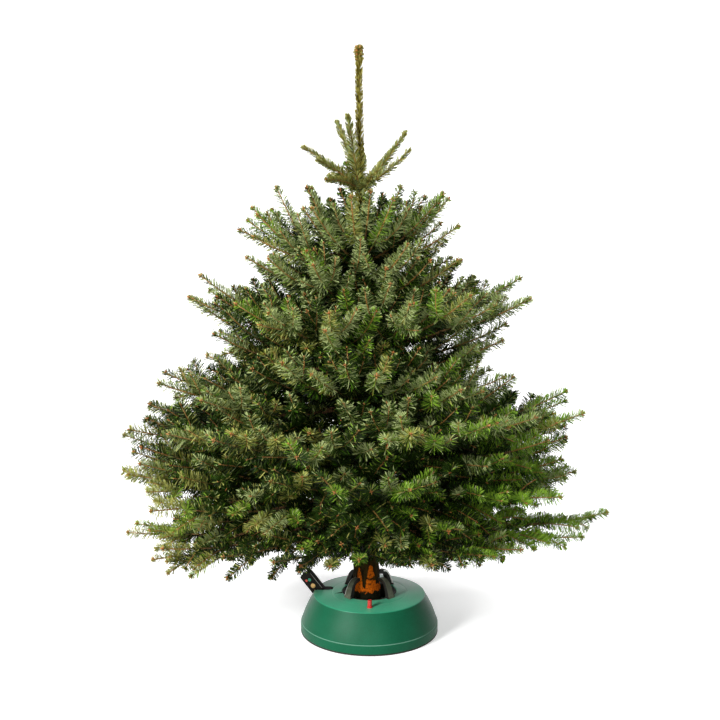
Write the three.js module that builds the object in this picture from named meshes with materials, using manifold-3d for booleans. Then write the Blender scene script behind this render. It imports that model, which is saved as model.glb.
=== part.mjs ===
// A young fir, cut and clamped in a round moulded tree stand with a foot pedal.
// Millimetres, +Z up. The origin is the middle of the stand's flat underside, and -Y is the front.
import * as THREE from 'three';
import { mergeVertices } from 'three/addons/utils/BufferGeometryUtils.js';
import Module from 'manifold-3d';

const GAP = 0.3;                   // clearance between pieces that touch

// Stand
const STAND_RADIUS = 180;          // at the base band
const BAND_HEIGHT = 27;            // upright band round the foot
const RIM_RADIUS = 146;            // edge between the wall and the deck
const RIM_HEIGHT = 98;
const WALL_BULGE = 3;              // how far the wall swells past a straight cone
const WELL_RADIUS = 71;            // round opening that takes the trunk
const DECK_HEIGHT = 105;           // deck level at the edge of the well
const FLOOR_THICKNESS = 12;        // bottom of the water well
const RING_INNER = 62;             // black collar lining the mouth of the well
const RING_DEPTH = 34;
const CLAW_TURN = 45;              // first of the four claws, from +X
const CLAW_TOP = 148;              // where a claw bites the trunk
const ROUND_SIDES = 32;
const FLOAT_REACH = 114;           // float indicator, in front of the well
const FLOAT_RADIUS = 6;
const FLOAT_HEIGHT = 19;
const PEDAL_TURN = 168;            // direction of the pedal, from +X
const PEDAL_SLOPE = 46;            // its rise above level, in degrees
const PEDAL_WIDTH = 22;
const PEDAL_DEPTH = 27;
const PEDAL_LENGTH = 74;
const ARM_WIDTH = 15;              // lever arm in the slot of the deck
const ARM_REACH = 98;              // inner end of the arm, from the middle

// Tree
const TREE_TOP = 1500;
const TRUNK_RADIUS = 36;           // where the claws hold it
const TRUNK_TAPER = 1.2;           // power of the taper: quick low down, thin above
const LEADER_RADIUS = 3.2;         // last year's growth at the top
const FLARE = 0.07;                // extra width at the butt, as a share
const FLARE_HEIGHT = 70;
const TRUNK_FOOT_X = -7;           // the trunk stands a little left of the middle
const TRUNK_LEAN = -24;            // and leans that far more by the top
const LEADER_START = 1172;
const LEADER_WIDTH = 13;           // radius of the needles round the leader

// Whorls of boughs, from the top. height: on the trunk. turns: direction of each bough, from +X.
// reach: bough length in plan. skew: share by which the left side is longer. rise: gain of height
// by the tip, and tilt: how much more on the right side. front: share by which boughs towards -Y
// are shorter. lift, back: how much more the boughs towards -Y and +Y rise. spread: half the angle
// of a fan. up, down: greatest thickness over and under the bough. bare: leafless limb.
const WHORLS = [
  { height: 1158, turns: [8, 107, 188, 238], reach: 136, skew: 0.1, rise: 100, tilt: 16,
    front: 0, lift: -66, back: 68, spread: 22, up: 20, down: 32, bare: 0 },
  { height: 1012, turns: [-6, 84, 174, 264], reach: 268, skew: 0.12, rise: 104, tilt: -4,
    front: 0.1, lift: 0, back: 0, spread: 38, up: 44, down: 74, bare: 0 },
  { height: 915, turns: [40, 130, 220, 310], reach: 300, skew: 0.06, rise: 58, tilt: 0,
    front: 0.1, lift: 10, back: 0, spread: 40, up: 44, down: 62, bare: 0 },
  { height: 812, turns: [20, 92, 164, 236, 308], reach: 442, skew: 0.01, rise: 72, tilt: 6,
    front: 0.12, lift: 20, back: 0, spread: 33, up: 44, down: 100, bare: 0 },
  { height: 644, turns: [-14, 58, 130, 202, 274], reach: 462, skew: 0.2, rise: 50, tilt: 0,
    front: 0.1, lift: 48, back: 10, spread: 33, up: 58, down: 66, bare: 0 },
  { height: 520, turns: [14, 84, 160, 232, 304], reach: 608, skew: 0.05, rise: 66, tilt: 22,
    front: 0.14, lift: 50, back: 0, spread: 33, up: 62, down: 62, bare: 0 },
  { height: 388, turns: [-8, 64, 130, 192, 262], reach: 612, skew: 0.08, rise: 50, tilt: 14,
    front: 0.2, lift: 78, back: 0, spread: 30.5, up: 58, down: 56, bare: 130 },
  { height: 248, turns: [0, 62, 120, 180, 238, 312], reach: 602, skew: 0.05, rise: 0, tilt: 0,
    front: 0.42, lift: 92, back: 0, spread: 27, up: 36, down: 62, bare: 120 },
];
const LONE_BOUGH = { whorl: 7, index: 0, reach: 642, rise: 56, spread: 12, thin: 0.55 };
const FINGERS = 3;                 // shoots that stand out of the rim of a fan
const FINGER_NOTCH = 0.16;         // depth between them, as a share of the reach
const EDGE = 4;                    // half the thickness of a fan at its rim
const BOUGH_RADIUS = 8.5;          // of the lowest limbs at the trunk
const BOUGH_BITE = 45;             // how far a limb is drawn into its fan before it is cut

const BARK = new THREE.MeshStandardMaterial({ color: 0x3a2615, roughness: 0.95 });
const NEEDLES = new THREE.MeshStandardMaterial({ color: 0x4c6a3c, roughness: 0.8 });
const GREEN = new THREE.MeshStandardMaterial({ color: 0x1f6f50, roughness: 0.55 });
const BLACK = new THREE.MeshStandardMaterial({ color: 0x15160f, roughness: 0.6 });
const STEEL = new THREE.MeshStandardMaterial({ color: 0x56564c, roughness: 0.5, metalness: 0.4 });
const RED = new THREE.MeshStandardMaterial({ color: 0xc9382c, roughness: 0.4 });

const rad = THREE.MathUtils.degToRad;
const lerp = THREE.MathUtils.lerp;
const wasm = await Module();
wasm.setup();
const tree = new THREE.Group();

// Solids and cuts

function toSolid(geometry) {
  const bare = geometry.clone();
  bare.deleteAttribute('normal');
  bare.deleteAttribute('uv');
  const merged = mergeVertices(bare, 1e-4);
  return new wasm.Manifold(new wasm.Mesh({
    numProp: 3,
    vertProperties: new Float32Array(merged.attributes.position.array),
    triVerts: new Uint32Array(merged.index.array),
  }));
}

function toGeometry(solid) {
  const mesh = solid.getMesh();
  const geometry = new THREE.BufferGeometry();
  geometry.setAttribute('position', new THREE.BufferAttribute(mesh.vertProperties, 3));
  geometry.setIndex(new THREE.BufferAttribute(mesh.triVerts, 1));
  geometry.computeVertexNormals();
  return geometry;
}

function largestPiece(solid) {
  return solid.decompose().sort((a, b) => b.volume() - a.volume())[0];
}

function addPiece(name, solid, material) {
  const mesh = new THREE.Mesh(toGeometry(solid), material);
  mesh.name = name;
  tree.add(mesh);
}

// A steady stream of numbers from 0 to 1, the same on every run.
function seededNumbers(seed) {
  let state = seed * 7919 + 104729;
  return () => {
    state = (state * 1103515245 + 12345) % 2147483648;
    return state / 2147483648;
  };
}

// A closed skin over rings of points, each ring with the same count, with flat ends.
function skinOverRings(rings) {
  const size = rings[0].length;
  const points = rings.flat();
  const faces = [];
  for (let row = 0; row + 1 < rings.length; row += 1) {
    for (let k = 0; k < size; k += 1) {
      const a = row * size + k;
      const b = row * size + (k + 1) % size;
      faces.push(a, b, b + size, a, b + size, a + size);
    }
  }
  const last = (rings.length - 1) * size;
  for (let k = 1; k + 1 < size; k += 1) {
    faces.push(0, k + 1, k, last, last + k, last + k + 1);
  }
  const geometry = new THREE.BufferGeometry();
  geometry.setAttribute('position',
    new THREE.Float32BufferAttribute(points.flatMap((p) => [p.x, p.y, p.z]), 3));
  geometry.setIndex(faces);
  return toSolid(geometry);
}

// A tapering limb along a curve, with rings of the given number of sides.
function limb(curve, steps, sides, radiusAt) {
  const rings = [];
  for (let i = 0; i <= steps; i += 1) {
    const centre = curve.getPoint(i / steps);
    const along = curve.getTangent(i / steps);
    const side = new THREE.Vector3(-along.y, along.x, 0);
    if (side.length() < 0.2) side.set(1, 0, 0).addScaledVector(along, -along.x);
    side.normalize();
    const over = new THREE.Vector3().crossVectors(along, side);
    const radius = radiusAt(i / steps);
    rings.push(Array.from({ length: sides }, (_, k) => {
      const angle = (2 * Math.PI * k) / sides;
      return centre.clone()
        .addScaledVector(side, radius * Math.cos(angle))
        .addScaledVector(over, radius * Math.sin(angle));
    }));
  }
  return skinOverRings(rings);
}

// Trunk

function trunkX(height) {
  return TRUNK_FOOT_X + TRUNK_LEAN * (height / TREE_TOP) ** 1.3;
}

function trunkRadius(height) {
  const left = Math.max(0, 1 - height / LEADER_START);
  const body = LEADER_RADIUS + (TRUNK_RADIUS + 4 - LEADER_RADIUS) * left ** TRUNK_TAPER;
  const flare = 1 + FLARE * Math.max(0, 1 - height / FLARE_HEIGHT);
  return body * flare;
}

function trunkSolid(grow) {
  const foot = FLOOR_THICKNESS + GAP;
  const centres = [];
  for (let i = 0; i <= 20; i += 1) {
    const height = lerp(foot, TREE_TOP, (i / 20) ** 0.9);
    centres.push(new THREE.Vector3(trunkX(height), 0, height));
  }
  const rings = centres.map((centre, i) => {
    const sides = 12;
    const tip = i === centres.length - 1 ? 0.6 : 1;
    return Array.from({ length: sides }, (_, k) => {
      const angle = (2 * Math.PI * k) / sides;
      const ripple = 1 + 0.03 * Math.sin(3 * angle + centre.z / 90) * Math.exp(-centre.z / 500);
      const radius = trunkRadius(centre.z) * ripple * tip + grow;
      return new THREE.Vector3(
        centre.x + radius * Math.cos(angle), radius * Math.sin(angle), centre.z);
    });
  });
  return skinOverRings(rings);
}

const trunkCutter = trunkSolid(GAP + 0.1);
addPiece('trunk', trunkSolid(0), BARK);

// Needles round the leader, a sleeve that thickens to a cluster of buds at the tip
function leaderSleeve(grow) {
  const rings = [];
  const top = TREE_TOP - 5;
  for (let i = 0; i <= 8; i += 1) {
    const height = lerp(LEADER_START - grow, top, i / 8);
    const swell = [0.5, 1, 0.92, 0.86, 0.9, 0.84, 0.78, 0.95, 0.55][i];
    rings.push(Array.from({ length: 10 }, (_, k) => {
      const angle = (2 * Math.PI * k) / 10;
      return new THREE.Vector3(
        trunkX(height) + (LEADER_WIDTH * swell + grow) * Math.cos(angle),
        (LEADER_WIDTH * swell + grow) * Math.sin(angle), height);
    }));
  }
  return skinOverRings(rings);
}
addPiece('foliage_leader', leaderSleeve(0).subtract(trunkCutter), NEEDLES);

// Foliage fans

// Reach, rise and place of one bough of a whorl.
function boughPlan(whorl, row, index) {
  const turn = rad(whorl.turns[index]);
  const frontness = Math.max(0, -Math.sin(turn)) ** 1.5;
  const plan = {
    turn,
    height: whorl.height + 12 * Math.sin(2.4 * index + row),
    reach: whorl.reach * (1 - whorl.skew * Math.cos(turn)) * (1 - whorl.front * frontness),
    rise: whorl.rise + whorl.tilt * Math.cos(turn) + whorl.lift * frontness
      + whorl.back * Math.max(0, Math.sin(turn)),
    spread: rad(whorl.spread),
    thick: 1,
  };
  if (row === LONE_BOUGH.whorl && index === LONE_BOUGH.index) {
    plan.reach = LONE_BOUGH.reach;
    plan.rise = LONE_BOUGH.rise;
    plan.spread = rad(LONE_BOUGH.spread);
    plan.thick = LONE_BOUGH.thin;
  }
  return plan;
}

// Height over its root of a bough's line, at a share of its reach: it arches, then levels.
function boughLine(plan, share) {
  return plan.rise * share + 0.05 * plan.reach * share * (1 - share);
}

// One fan of foliage: a lens over a sector, with shoots standing out of its rim.
function fan(plan, whorl, seed, grow) {
  const number = seededNumbers(seed);
  const columns = 2 * FINGERS;
  const rows = 4;
  const start = whorl.bare > 0 ? whorl.bare : 2;
  const middleX = trunkX(plan.height);
  const tops = [];
  const bottoms = [];
  for (let i = 0; i <= columns; i += 1) {
    const u = (2 * i) / columns - 1;
    const isFinger = i % 2 === 1;
    const finger = isFinger ? 1 - 0.07 * number() : 1 - FINGER_NOTCH * (0.7 + 0.6 * number());
    const fingerLift = 24 * (number() - 0.5);
    const across = plan.turn + u * plan.spread;
    for (let j = 0; j <= rows; j += 1) {
      const s = j / rows;
      const full = plan.reach * finger * (1 - 0.06 * u * u);
      const out = lerp(start, full, s) + (j === rows ? grow : 0) - (j === 0 ? grow : 0);
      const share = out / plan.reach;
      const inside = i > 0 && i < columns && j > 0 && j < rows;
      const bulge = inside ? Math.sin(Math.PI * s ** 0.8) ** 0.5 * (1 - u ** 4) : 0;
      const wide = plan.thick * (0.35 + 0.65 * Math.min(1, share * 1.6)) * (0.85 + 0.3 * number());
      const centre = plan.height + boughLine(plan, share) + fingerLift * s * s
        - 0.06 * plan.reach * u * u * share;
      const edgeShift = (i === 0 ? -grow : 0) + (i === columns ? grow : 0);
      const x = middleX + out * Math.cos(across) - edgeShift * Math.sin(across);
      const y = out * Math.sin(across) + edgeShift * Math.cos(across);
      tops.push(new THREE.Vector3(x, y, centre + EDGE + grow + bulge * wide * whorl.up));
      bottoms.push(new THREE.Vector3(x, y, centre - EDGE - grow - bulge * wide * whorl.down));
    }
  }
  const faces = [];
  const wide = rows + 1;
  const under = tops.length;
  const quad = (a, b, c, d) => faces.push(a, b, c, a, c, d);
  for (let i = 0; i < columns; i += 1) {
    for (let j = 0; j < rows; j += 1) {
      const a = i * wide + j;
      quad(a, a + 1, a + 1 + wide, a + wide);
      quad(under + a, under + a + wide, under + a + 1 + wide, under + a + 1);
    }
  }
  const rim = [];
  for (let j = 0; j < rows; j += 1) rim.push(j);
  for (let i = 0; i < columns; i += 1) rim.push(i * wide + rows);
  for (let j = rows; j > 0; j -= 1) rim.push(columns * wide + j);
  for (let i = columns; i > 0; i -= 1) rim.push(i * wide);
  rim.forEach((a, k) => {
    const b = rim[(k + 1) % rim.length];
    quad(a, under + a, under + b, b);
  });
  const geometry = new THREE.BufferGeometry();
  geometry.setAttribute('position',
    new THREE.Float32BufferAttribute([...tops, ...bottoms].flatMap((p) => [p.x, p.y, p.z]), 3));
  geometry.setIndex(faces);
  return toSolid(geometry);
}

// Each fan is cut clear of the trunk and of what was already placed.
const placed = [leaderSleeve(GAP + 0.1)];

function boxesMeet(a, b) {
  const p = a.boundingBox();
  const q = b.boundingBox();
  return [0, 1, 2].every((k) => p.min[k] <= q.max[k] && q.min[k] <= p.max[k]);
}

WHORLS.forEach((whorl, row) => {
  for (let index = 0; index < whorl.turns.length; index += 1) {
    const plan = boughPlan(whorl, row, index);
    const seed = 10 * row + index + 1;
    let mass = fan(plan, whorl, seed, 0).subtract(trunkCutter);
    for (const other of placed) {
      if (boxesMeet(mass, other)) mass = mass.subtract(other);
    }
    mass = largestPiece(mass);
    const grown = fan(plan, whorl, seed, GAP + 0.1);
    placed.push(grown);
    addPiece(`foliage_${row + 1}_${index + 1}`, mass, NEEDLES);
    if (whorl.bare > 0) {
      const end = (whorl.bare + BOUGH_BITE) / plan.reach;
      const at = (share) => new THREE.Vector3(
        trunkX(plan.height) + share * plan.reach * Math.cos(plan.turn),
        share * plan.reach * Math.sin(plan.turn), plan.height + boughLine(plan, share));
      const curve = new THREE.QuadraticBezierCurve3(at(0), at(end / 2), at(end));
      const thick = BOUGH_RADIUS * (row === WHORLS.length - 1 ? 1 : 0.85);
      const whole = limb(curve, 3, 6, (t) => lerp(thick, thick * 0.7, t));
      addPiece(`bough_${row + 1}_${index + 1}`,
        largestPiece(whole.subtract(trunkCutter).subtract(grown)), BARK);
    }
  }
});

// Stand

// Housing: one moulding, revolved, with a floor under the well.
function wallPoint(share) {
  const straight = lerp(STAND_RADIUS - 1.5, RIM_RADIUS, share);
  return [straight + WALL_BULGE * Math.sin(Math.PI * share), lerp(BAND_HEIGHT, RIM_HEIGHT, share)];
}

function revolve(profile) {
  return toSolid(new THREE.LatheGeometry(
    profile.map(([r, z]) => new THREE.Vector2(r, z)), ROUND_SIDES).rotateX(Math.PI / 2));
}

function pedalSolid(grow) {
  const deep = PEDAL_DEPTH / 2 + grow;
  const half = PEDAL_LENGTH / 2 + grow;
  const tread = new THREE.Shape();
  tread.moveTo(-half, -deep);
  tread.lineTo(half - 4, -deep);
  tread.lineTo(half, -deep + 4);
  tread.lineTo(half, deep - 7);
  tread.lineTo(half - 7, deep);
  tread.lineTo(-half, deep);
  const width = PEDAL_WIDTH + 2 * grow;
  const plate = new THREE.ExtrudeGeometry(tread, { depth: width, bevelEnabled: false });
  plate.translate(0, 0, -width / 2);
  plate.rotateX(Math.PI / 2);
  plate.rotateY(-rad(PEDAL_SLOPE));
  const slope = rad(PEDAL_SLOPE);
  const rootX = RIM_RADIUS - 10;
  const rootZ = RIM_HEIGHT + 3;
  plate.translate(rootX + (PEDAL_LENGTH / 2 - 14) * Math.cos(slope), 0,
    rootZ + (PEDAL_LENGTH / 2 - 14) * Math.sin(slope));
  const armLength = rootX - ARM_REACH;
  const arm = new THREE.BoxGeometry(armLength + 2 * grow, ARM_WIDTH + 2 * grow, 9 + 2 * grow);
  arm.translate(ARM_REACH + armLength / 2, 0, DECK_HEIGHT - 12);
  return toSolid(plate).add(toSolid(arm)).rotate([0, 0, PEDAL_TURN]);
}

function housing() {
  const profile = [[0, 0], [STAND_RADIUS - 4, 0], [STAND_RADIUS, 3], [STAND_RADIUS, BAND_HEIGHT - 1.5],
    [STAND_RADIUS - 2.5, BAND_HEIGHT]];
  for (let i = 1; i <= 5; i += 1) profile.push(wallPoint(i / 5));
  profile.push([RIM_RADIUS - 4, RIM_HEIGHT + 1.5], [WELL_RADIUS + 4, DECK_HEIGHT],
    [WELL_RADIUS, DECK_HEIGHT - 2], [WELL_RADIUS, FLOOR_THICKNESS], [0, FLOOR_THICKNESS]);
  const slot = new THREE.BoxGeometry(RIM_RADIUS - ARM_REACH + 4, ARM_WIDTH + 2, 30);
  slot.translate((RIM_RADIUS + ARM_REACH) / 2 - 4, 0, DECK_HEIGHT);
  return revolve(profile)
    .subtract(toSolid(slot).rotate([0, 0, PEDAL_TURN]))
    .subtract(pedalSolid(GAP));
}
addPiece('stand_housing', largestPiece(housing()), GREEN);
addPiece('stand_pedal', pedalSolid(0), BLACK);

// Collar: a black ring inside the mouth of the well.
function collar() {
  const outer = WELL_RADIUS - GAP;
  const top = DECK_HEIGHT - 1;
  const profile = [[RING_INNER, top - RING_DEPTH], [outer, top - RING_DEPTH], [outer, top],
    [RING_INNER, top], [RING_INNER, top - RING_DEPTH]];
  return revolve(profile);
}
addPiece('stand_collar', collar(), BLACK);

// Claws: horns that stand on the collar and lean in until their teeth bite the trunk.
function claw(turn) {
  const bite = trunkRadius(CLAW_TOP) - 4;
  const foot = DECK_HEIGHT - 1 + GAP;
  const shape = new THREE.Shape();
  shape.moveTo(RING_INNER + 4.5, foot);
  shape.lineTo(WELL_RADIUS + 3.5, foot + 1.2);
  shape.lineTo(WELL_RADIUS + 9, foot + 1.2);
  shape.lineTo(WELL_RADIUS + 5, foot + 14);
  shape.quadraticCurveTo(WELL_RADIUS - 6, CLAW_TOP + 2, WELL_RADIUS - 24, CLAW_TOP + 3);
  shape.lineTo(bite, CLAW_TOP - 1);
  shape.lineTo(bite, CLAW_TOP - 9);
  shape.lineTo(WELL_RADIUS - 24, CLAW_TOP - 10);
  shape.quadraticCurveTo(WELL_RADIUS - 12, CLAW_TOP - 12, RING_INNER + 1.5, foot + 12);
  const body = new THREE.ExtrudeGeometry(shape, { depth: 1, bevelEnabled: false, curveSegments: 4 });
  const place = body.attributes.position;
  for (let i = 0; i < place.count; i += 1) {
    const share = (place.getY(i) - foot) / (CLAW_TOP - foot);
    place.setZ(i, (place.getZ(i) - 0.5) * lerp(17, 9, share));
  }
  body.rotateX(Math.PI / 2);
  return toSolid(body).rotate([0, 0, turn]).subtract(trunkCutter);
}
['back_right', 'back_left', 'front_left', 'front_right'].forEach((side, k) => {
  addPiece(`stand_claw_${side}`, largestPiece(claw(CLAW_TURN + 90 * k)), STEEL);
});

// Float indicator: a red peg that shows the level of the water.
function floatPeg() {
  const peg = new THREE.CylinderGeometry(FLOAT_RADIUS, FLOAT_RADIUS, FLOAT_HEIGHT, 14);
  const share = (FLOAT_REACH - WELL_RADIUS - 4) / (RIM_RADIUS - WELL_RADIUS - 8);
  const deck = lerp(DECK_HEIGHT, RIM_HEIGHT + 1.5, share);
  peg.rotateX(Math.PI / 2);
  peg.translate(0, -FLOAT_REACH, deck + FLOAT_HEIGHT / 2 + 0.9);
  return toSolid(peg);
}
addPiece('stand_float', floatPeg(), RED);

export default tree;
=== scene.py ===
"""A young fir in a round moulded tree stand with four claws, a float peg and a foot pedal."""
import collections
import itertools
import math

import bmesh
import bpy
import numpy as np
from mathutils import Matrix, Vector


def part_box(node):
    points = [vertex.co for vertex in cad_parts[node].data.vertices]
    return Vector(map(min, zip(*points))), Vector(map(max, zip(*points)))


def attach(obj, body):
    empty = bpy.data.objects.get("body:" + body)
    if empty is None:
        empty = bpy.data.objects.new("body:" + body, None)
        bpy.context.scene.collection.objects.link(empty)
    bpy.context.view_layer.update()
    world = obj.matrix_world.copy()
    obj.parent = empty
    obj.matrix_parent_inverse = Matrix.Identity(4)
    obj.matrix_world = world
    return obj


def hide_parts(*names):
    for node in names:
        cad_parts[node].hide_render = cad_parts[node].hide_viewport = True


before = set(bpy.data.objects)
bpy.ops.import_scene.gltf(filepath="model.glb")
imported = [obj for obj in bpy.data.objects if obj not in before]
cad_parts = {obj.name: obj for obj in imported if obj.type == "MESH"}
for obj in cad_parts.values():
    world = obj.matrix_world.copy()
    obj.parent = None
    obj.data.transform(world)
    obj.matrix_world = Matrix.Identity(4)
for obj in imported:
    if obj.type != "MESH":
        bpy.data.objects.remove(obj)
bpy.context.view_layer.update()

# Studio. A camera a little above the middle of the tree, a white sweep under and behind it, and
# four large soft lights: high on the left, low in front, wide overhead, and one on the sweep.

CAMERA_TILT = 8.517                      # degrees below the level
SWEEP_SIDE = 10.0                        # metres from the middle to each side of the sweep
SWEEP_FRONT = 9.0
SWEEP_BEND = 3.0                         # where it starts to rise behind the tree
SWEEP_RADIUS = 2.0
SWEEP_TOP = 12.0

camera_data = bpy.data.cameras.new("camera")
camera_data.sensor_width = 36
camera_data.lens = 55.625
camera = bpy.data.objects.new("camera", camera_data)
camera.location = (-0.0245, -2.8, 1.136)
camera.rotation_euler = (math.radians(90 - CAMERA_TILT), 0, 0)
bpy.context.scene.collection.objects.link(camera)
bpy.context.scene.camera = camera
bpy.context.scene.view_settings.view_transform = "Standard"

world = bpy.data.worlds.new("studio")
world.use_nodes = True
world.node_tree.nodes["Background"].inputs["Color"].default_value = (1, 1, 1, 1)
world.node_tree.nodes["Background"].inputs["Strength"].default_value = 0.25
bpy.context.scene.world = world


def soft_light(name, place, aim, width, height, power):
    """A rectangular lamp at a place, turned to face a point."""
    data = bpy.data.lights.new(name, "AREA")
    data.shape = "RECTANGLE"
    data.size = width
    data.size_y = height
    data.energy = power
    lamp = bpy.data.objects.new(name, data)
    lamp.location = place
    lamp.rotation_euler = (Vector(aim) - Vector(place)).to_track_quat("-Z", "Y").to_euler()
    bpy.context.scene.collection.objects.link(lamp)


soft_light("light_left", (-2.7, -2.8, 2.0), (0, 0, 0.5), 0.9, 0.9, 220)
soft_light("light_front", (0.2, -3.3, 1.1), (0, 0, 0.2), 1.2, 0.6, 32)
soft_light("light_above", (0, -0.2, 4.2), (0, 0, 0.8), 3.0, 3.0, 120)
soft_light("light_backdrop", (0, 1.6, 4.6), (0, 5.5, 1.5), 6.0, 1.0, 300)


class Wire:
    """An output socket of a material's nodes. Arithmetic on it adds Math nodes."""

    def __init__(self, socket):
        self.socket = socket
        self.tree = socket.id_data

    def node(self, kind, settings, sockets, output=0):
        """Adds a node: its settings first, then a value or a link for each named socket."""
        made = self.tree.nodes.new(kind)
        for name, value in settings.items():
            if name == "stops":
                for extra in range(len(value) - 2):
                    made.color_ramp.elements.new(0.5)
                for stop, (place, colour) in zip(made.color_ramp.elements, value):
                    stop.position = place
                    stop.color = colour
            else:
                setattr(made, name, value)
        for name, value in sockets.items():
            if isinstance(value, Wire):
                self.tree.links.new(value.socket, made.inputs[name])
            else:
                made.inputs[name].default_value = value
        return Wire(made.outputs[output])

    def math(self, operation, first, second=0.0):
        """Adds a Math node of that operation on two wires or numbers."""
        return self.node("ShaderNodeMath", {"operation": operation}, {0: first, 1: second})

    def __add__(self, other):
        return self.math("ADD", self, other)

    def __sub__(self, other):
        return self.math("SUBTRACT", self, other)

    def __rsub__(self, other):
        return self.math("SUBTRACT", other, self)

    def __mul__(self, other):
        return self.math("MULTIPLY", self, other)

    __radd__ = __add__
    __rmul__ = __mul__

    def between(self, low, high):
        """0 below low, 1 above high, and a smooth step from one to the other."""
        return self.node("ShaderNodeMapRange", {"interpolation_type": "SMOOTHSTEP"},
                         {"Value": self, "From Min": low, "From Max": high})

    def mix(self, start, end):
        """The colour start where this mask is 0, and end where it is 1."""
        return self.node("ShaderNodeMix", {"data_type": "RGBA"},
                         {0: self, 6: start, 7: end}, output=2)

    def noise(self, size, detail=3.0, stretch=(1, 1, 1)):
        """Noise from 0 to 1 with lumps of about that size in metres, read from a place."""
        scaled = self.node("ShaderNodeMapping", {}, {"Vector": self, "Scale": stretch})
        return self.node("ShaderNodeTexNoise", {},
                         {"Vector": scaled, "Scale": 1 / size, "Detail": detail})


def paint(red, green, blue):
    """A linear colour from display values of 0 to 255, by the display's standard curve."""
    share = np.array([red, green, blue]) / 255
    low = share / 12.92
    high = ((share + 0.055) / 1.055) ** 2.4
    return (*np.where(share <= 0.04045, low, high).tolist(), 1.0)


def new_finish(name, colour, roughness, metallic=0.0):
    """A material of one Principled shader, with that shader and a wire of Object coordinates."""
    finish = bpy.data.materials.new(name)
    finish.use_nodes = True
    shader = finish.node_tree.nodes["Principled BSDF"]
    shader.inputs["Base Color"].default_value = colour
    shader.inputs["Roughness"].default_value = roughness
    shader.inputs["Metallic"].default_value = metallic
    place = finish.node_tree.nodes.new("ShaderNodeTexCoord").outputs["Object"]
    return finish, shader, Wire(place)


def set_socket(shader, name, wire):
    """Links a wire to the named socket of a shader."""
    wire.tree.links.new(wire.socket, shader.inputs[name])


def set_bump(shader, height, depth):
    """Feeds a height wire to the shader's normal as a relief of that depth in metres."""
    bump = height.node("ShaderNodeBump", {}, {"Height": height, "Distance": depth})
    set_socket(shader, "Normal", bump)


floor_finish, floor_shader, floor_place = new_finish("studio_white", (0.9, 0.9, 0.9, 1), 0.6)
floor_tone = floor_place.noise(0.8)
set_socket(floor_shader, "Base Color",
           floor_tone.mix((0.90, 0.90, 0.90, 1), (0.93, 0.93, 0.93, 1)))
floor_shader.inputs["Emission Color"].default_value = (1, 1, 1, 1)
floor_shader.inputs["Emission Strength"].default_value = 0.45


def make_piece(name, points, faces, finishes, finish=None, smooth=True):
    """A mesh object from points (n, 3) and the corners of its faces (m, 3 or 4)."""
    mesh = bpy.data.meshes.new(name)
    mesh.vertices.add(len(points))
    mesh.vertices.foreach_set("co", np.ascontiguousarray(points, np.float32).ravel())
    mesh.loops.add(faces.size)
    mesh.loops.foreach_set("vertex_index", np.ascontiguousarray(faces, np.int32).ravel())
    mesh.polygons.add(len(faces))
    starts = np.arange(len(faces), dtype=np.int32) * faces.shape[1]
    mesh.polygons.foreach_set("loop_start", starts)
    mesh.polygons.foreach_set("use_smooth", np.full(len(faces), smooth))
    if finish is not None:
        mesh.polygons.foreach_set("material_index", finish.astype(np.int32))
    for material in finishes:
        mesh.materials.append(material)
    mesh.update(calc_edges=True)
    piece = bpy.data.objects.new(name, mesh)
    bpy.context.scene.collection.objects.link(piece)
    return piece


def facing_out(points, faces):
    """The faces of a closed skin, all turned round if the volume they enclose comes out negative."""
    corner = (points - points.mean(0))[faces]
    total = 0
    for k in range(1, faces.shape[1] - 1):
        total += np.einsum("ij,ij->", corner[:, 0], np.cross(corner[:, k], corner[:, k + 1]))
    return faces if total > 0 else faces[:, ::-1]


def grid_faces(rows, columns, wrap):
    """Corners of the quads of a grid of points, closed round its columns if wrap is true."""
    row, column = np.mgrid[0:rows - 1, 0:columns - (0 if wrap else 1)]
    after = (column + 1) % columns
    corners = [row * columns + column, row * columns + after,
               (row + 1) * columns + after, (row + 1) * columns + column]
    return np.stack(corners, -1).reshape(-1, 4)


# The sweep runs flat under and behind the tree, then bends up in a quarter circle and stands.
sweep_angle = np.linspace(0, math.pi / 2, 24)
sweep_y = np.concatenate([[-SWEEP_FRONT], SWEEP_BEND + SWEEP_RADIUS * np.sin(sweep_angle),
                          [SWEEP_BEND + SWEEP_RADIUS]])
sweep_z = np.concatenate([[0.0], SWEEP_RADIUS - SWEEP_RADIUS * np.cos(sweep_angle), [SWEEP_TOP]])
sweep_x = np.array([-SWEEP_SIDE, SWEEP_SIDE])
sweep = np.stack(np.broadcast_arrays(sweep_x[None, :], sweep_y[:, None], sweep_z[:, None]), -1)
floor = make_piece("studio_sweep", sweep.reshape(-1, 3), grid_faces(len(sweep_y), 2, False),
                   [floor_finish])
floor.visible_diffuse = False


# Stand housing. One hollow moulding of green plastic with a fine leather grain: an upright band
# at the foot, a swelling wall, a flat deck with a ring groove, and a round well for the trunk.

MM = 0.001
FOOT_LIFT = 3 * MM                       # the moulding stands on a rubber ring
FOOT_INNER = 120 * MM
WELL_FLOOR = 12 * MM
BAND_TOP = 27 * MM
RIM_TOP = 98 * MM
RIM_RADIUS = 146 * MM
RIM_STEP = 1.2 * MM                      # from the rim up to the edge of the deck
WALL_BULGE = 3 * MM
SLOT_START = 98 * MM                     # the slot in the deck that the pedal's arm lies in
SLOT_HALF = 12.8 * MM
SLOT_DEPTH = 13 * MM
SLOT_SPREAD = math.radians(9.5)          # half the turn that has narrow columns, round the slot
RING_GROOVE = 98 * MM                    # radius of the groove that runs round the deck
GROOVE_DEPTH = 0.7 * MM
GROOVE_HALF = 0.9 * MM

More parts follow.
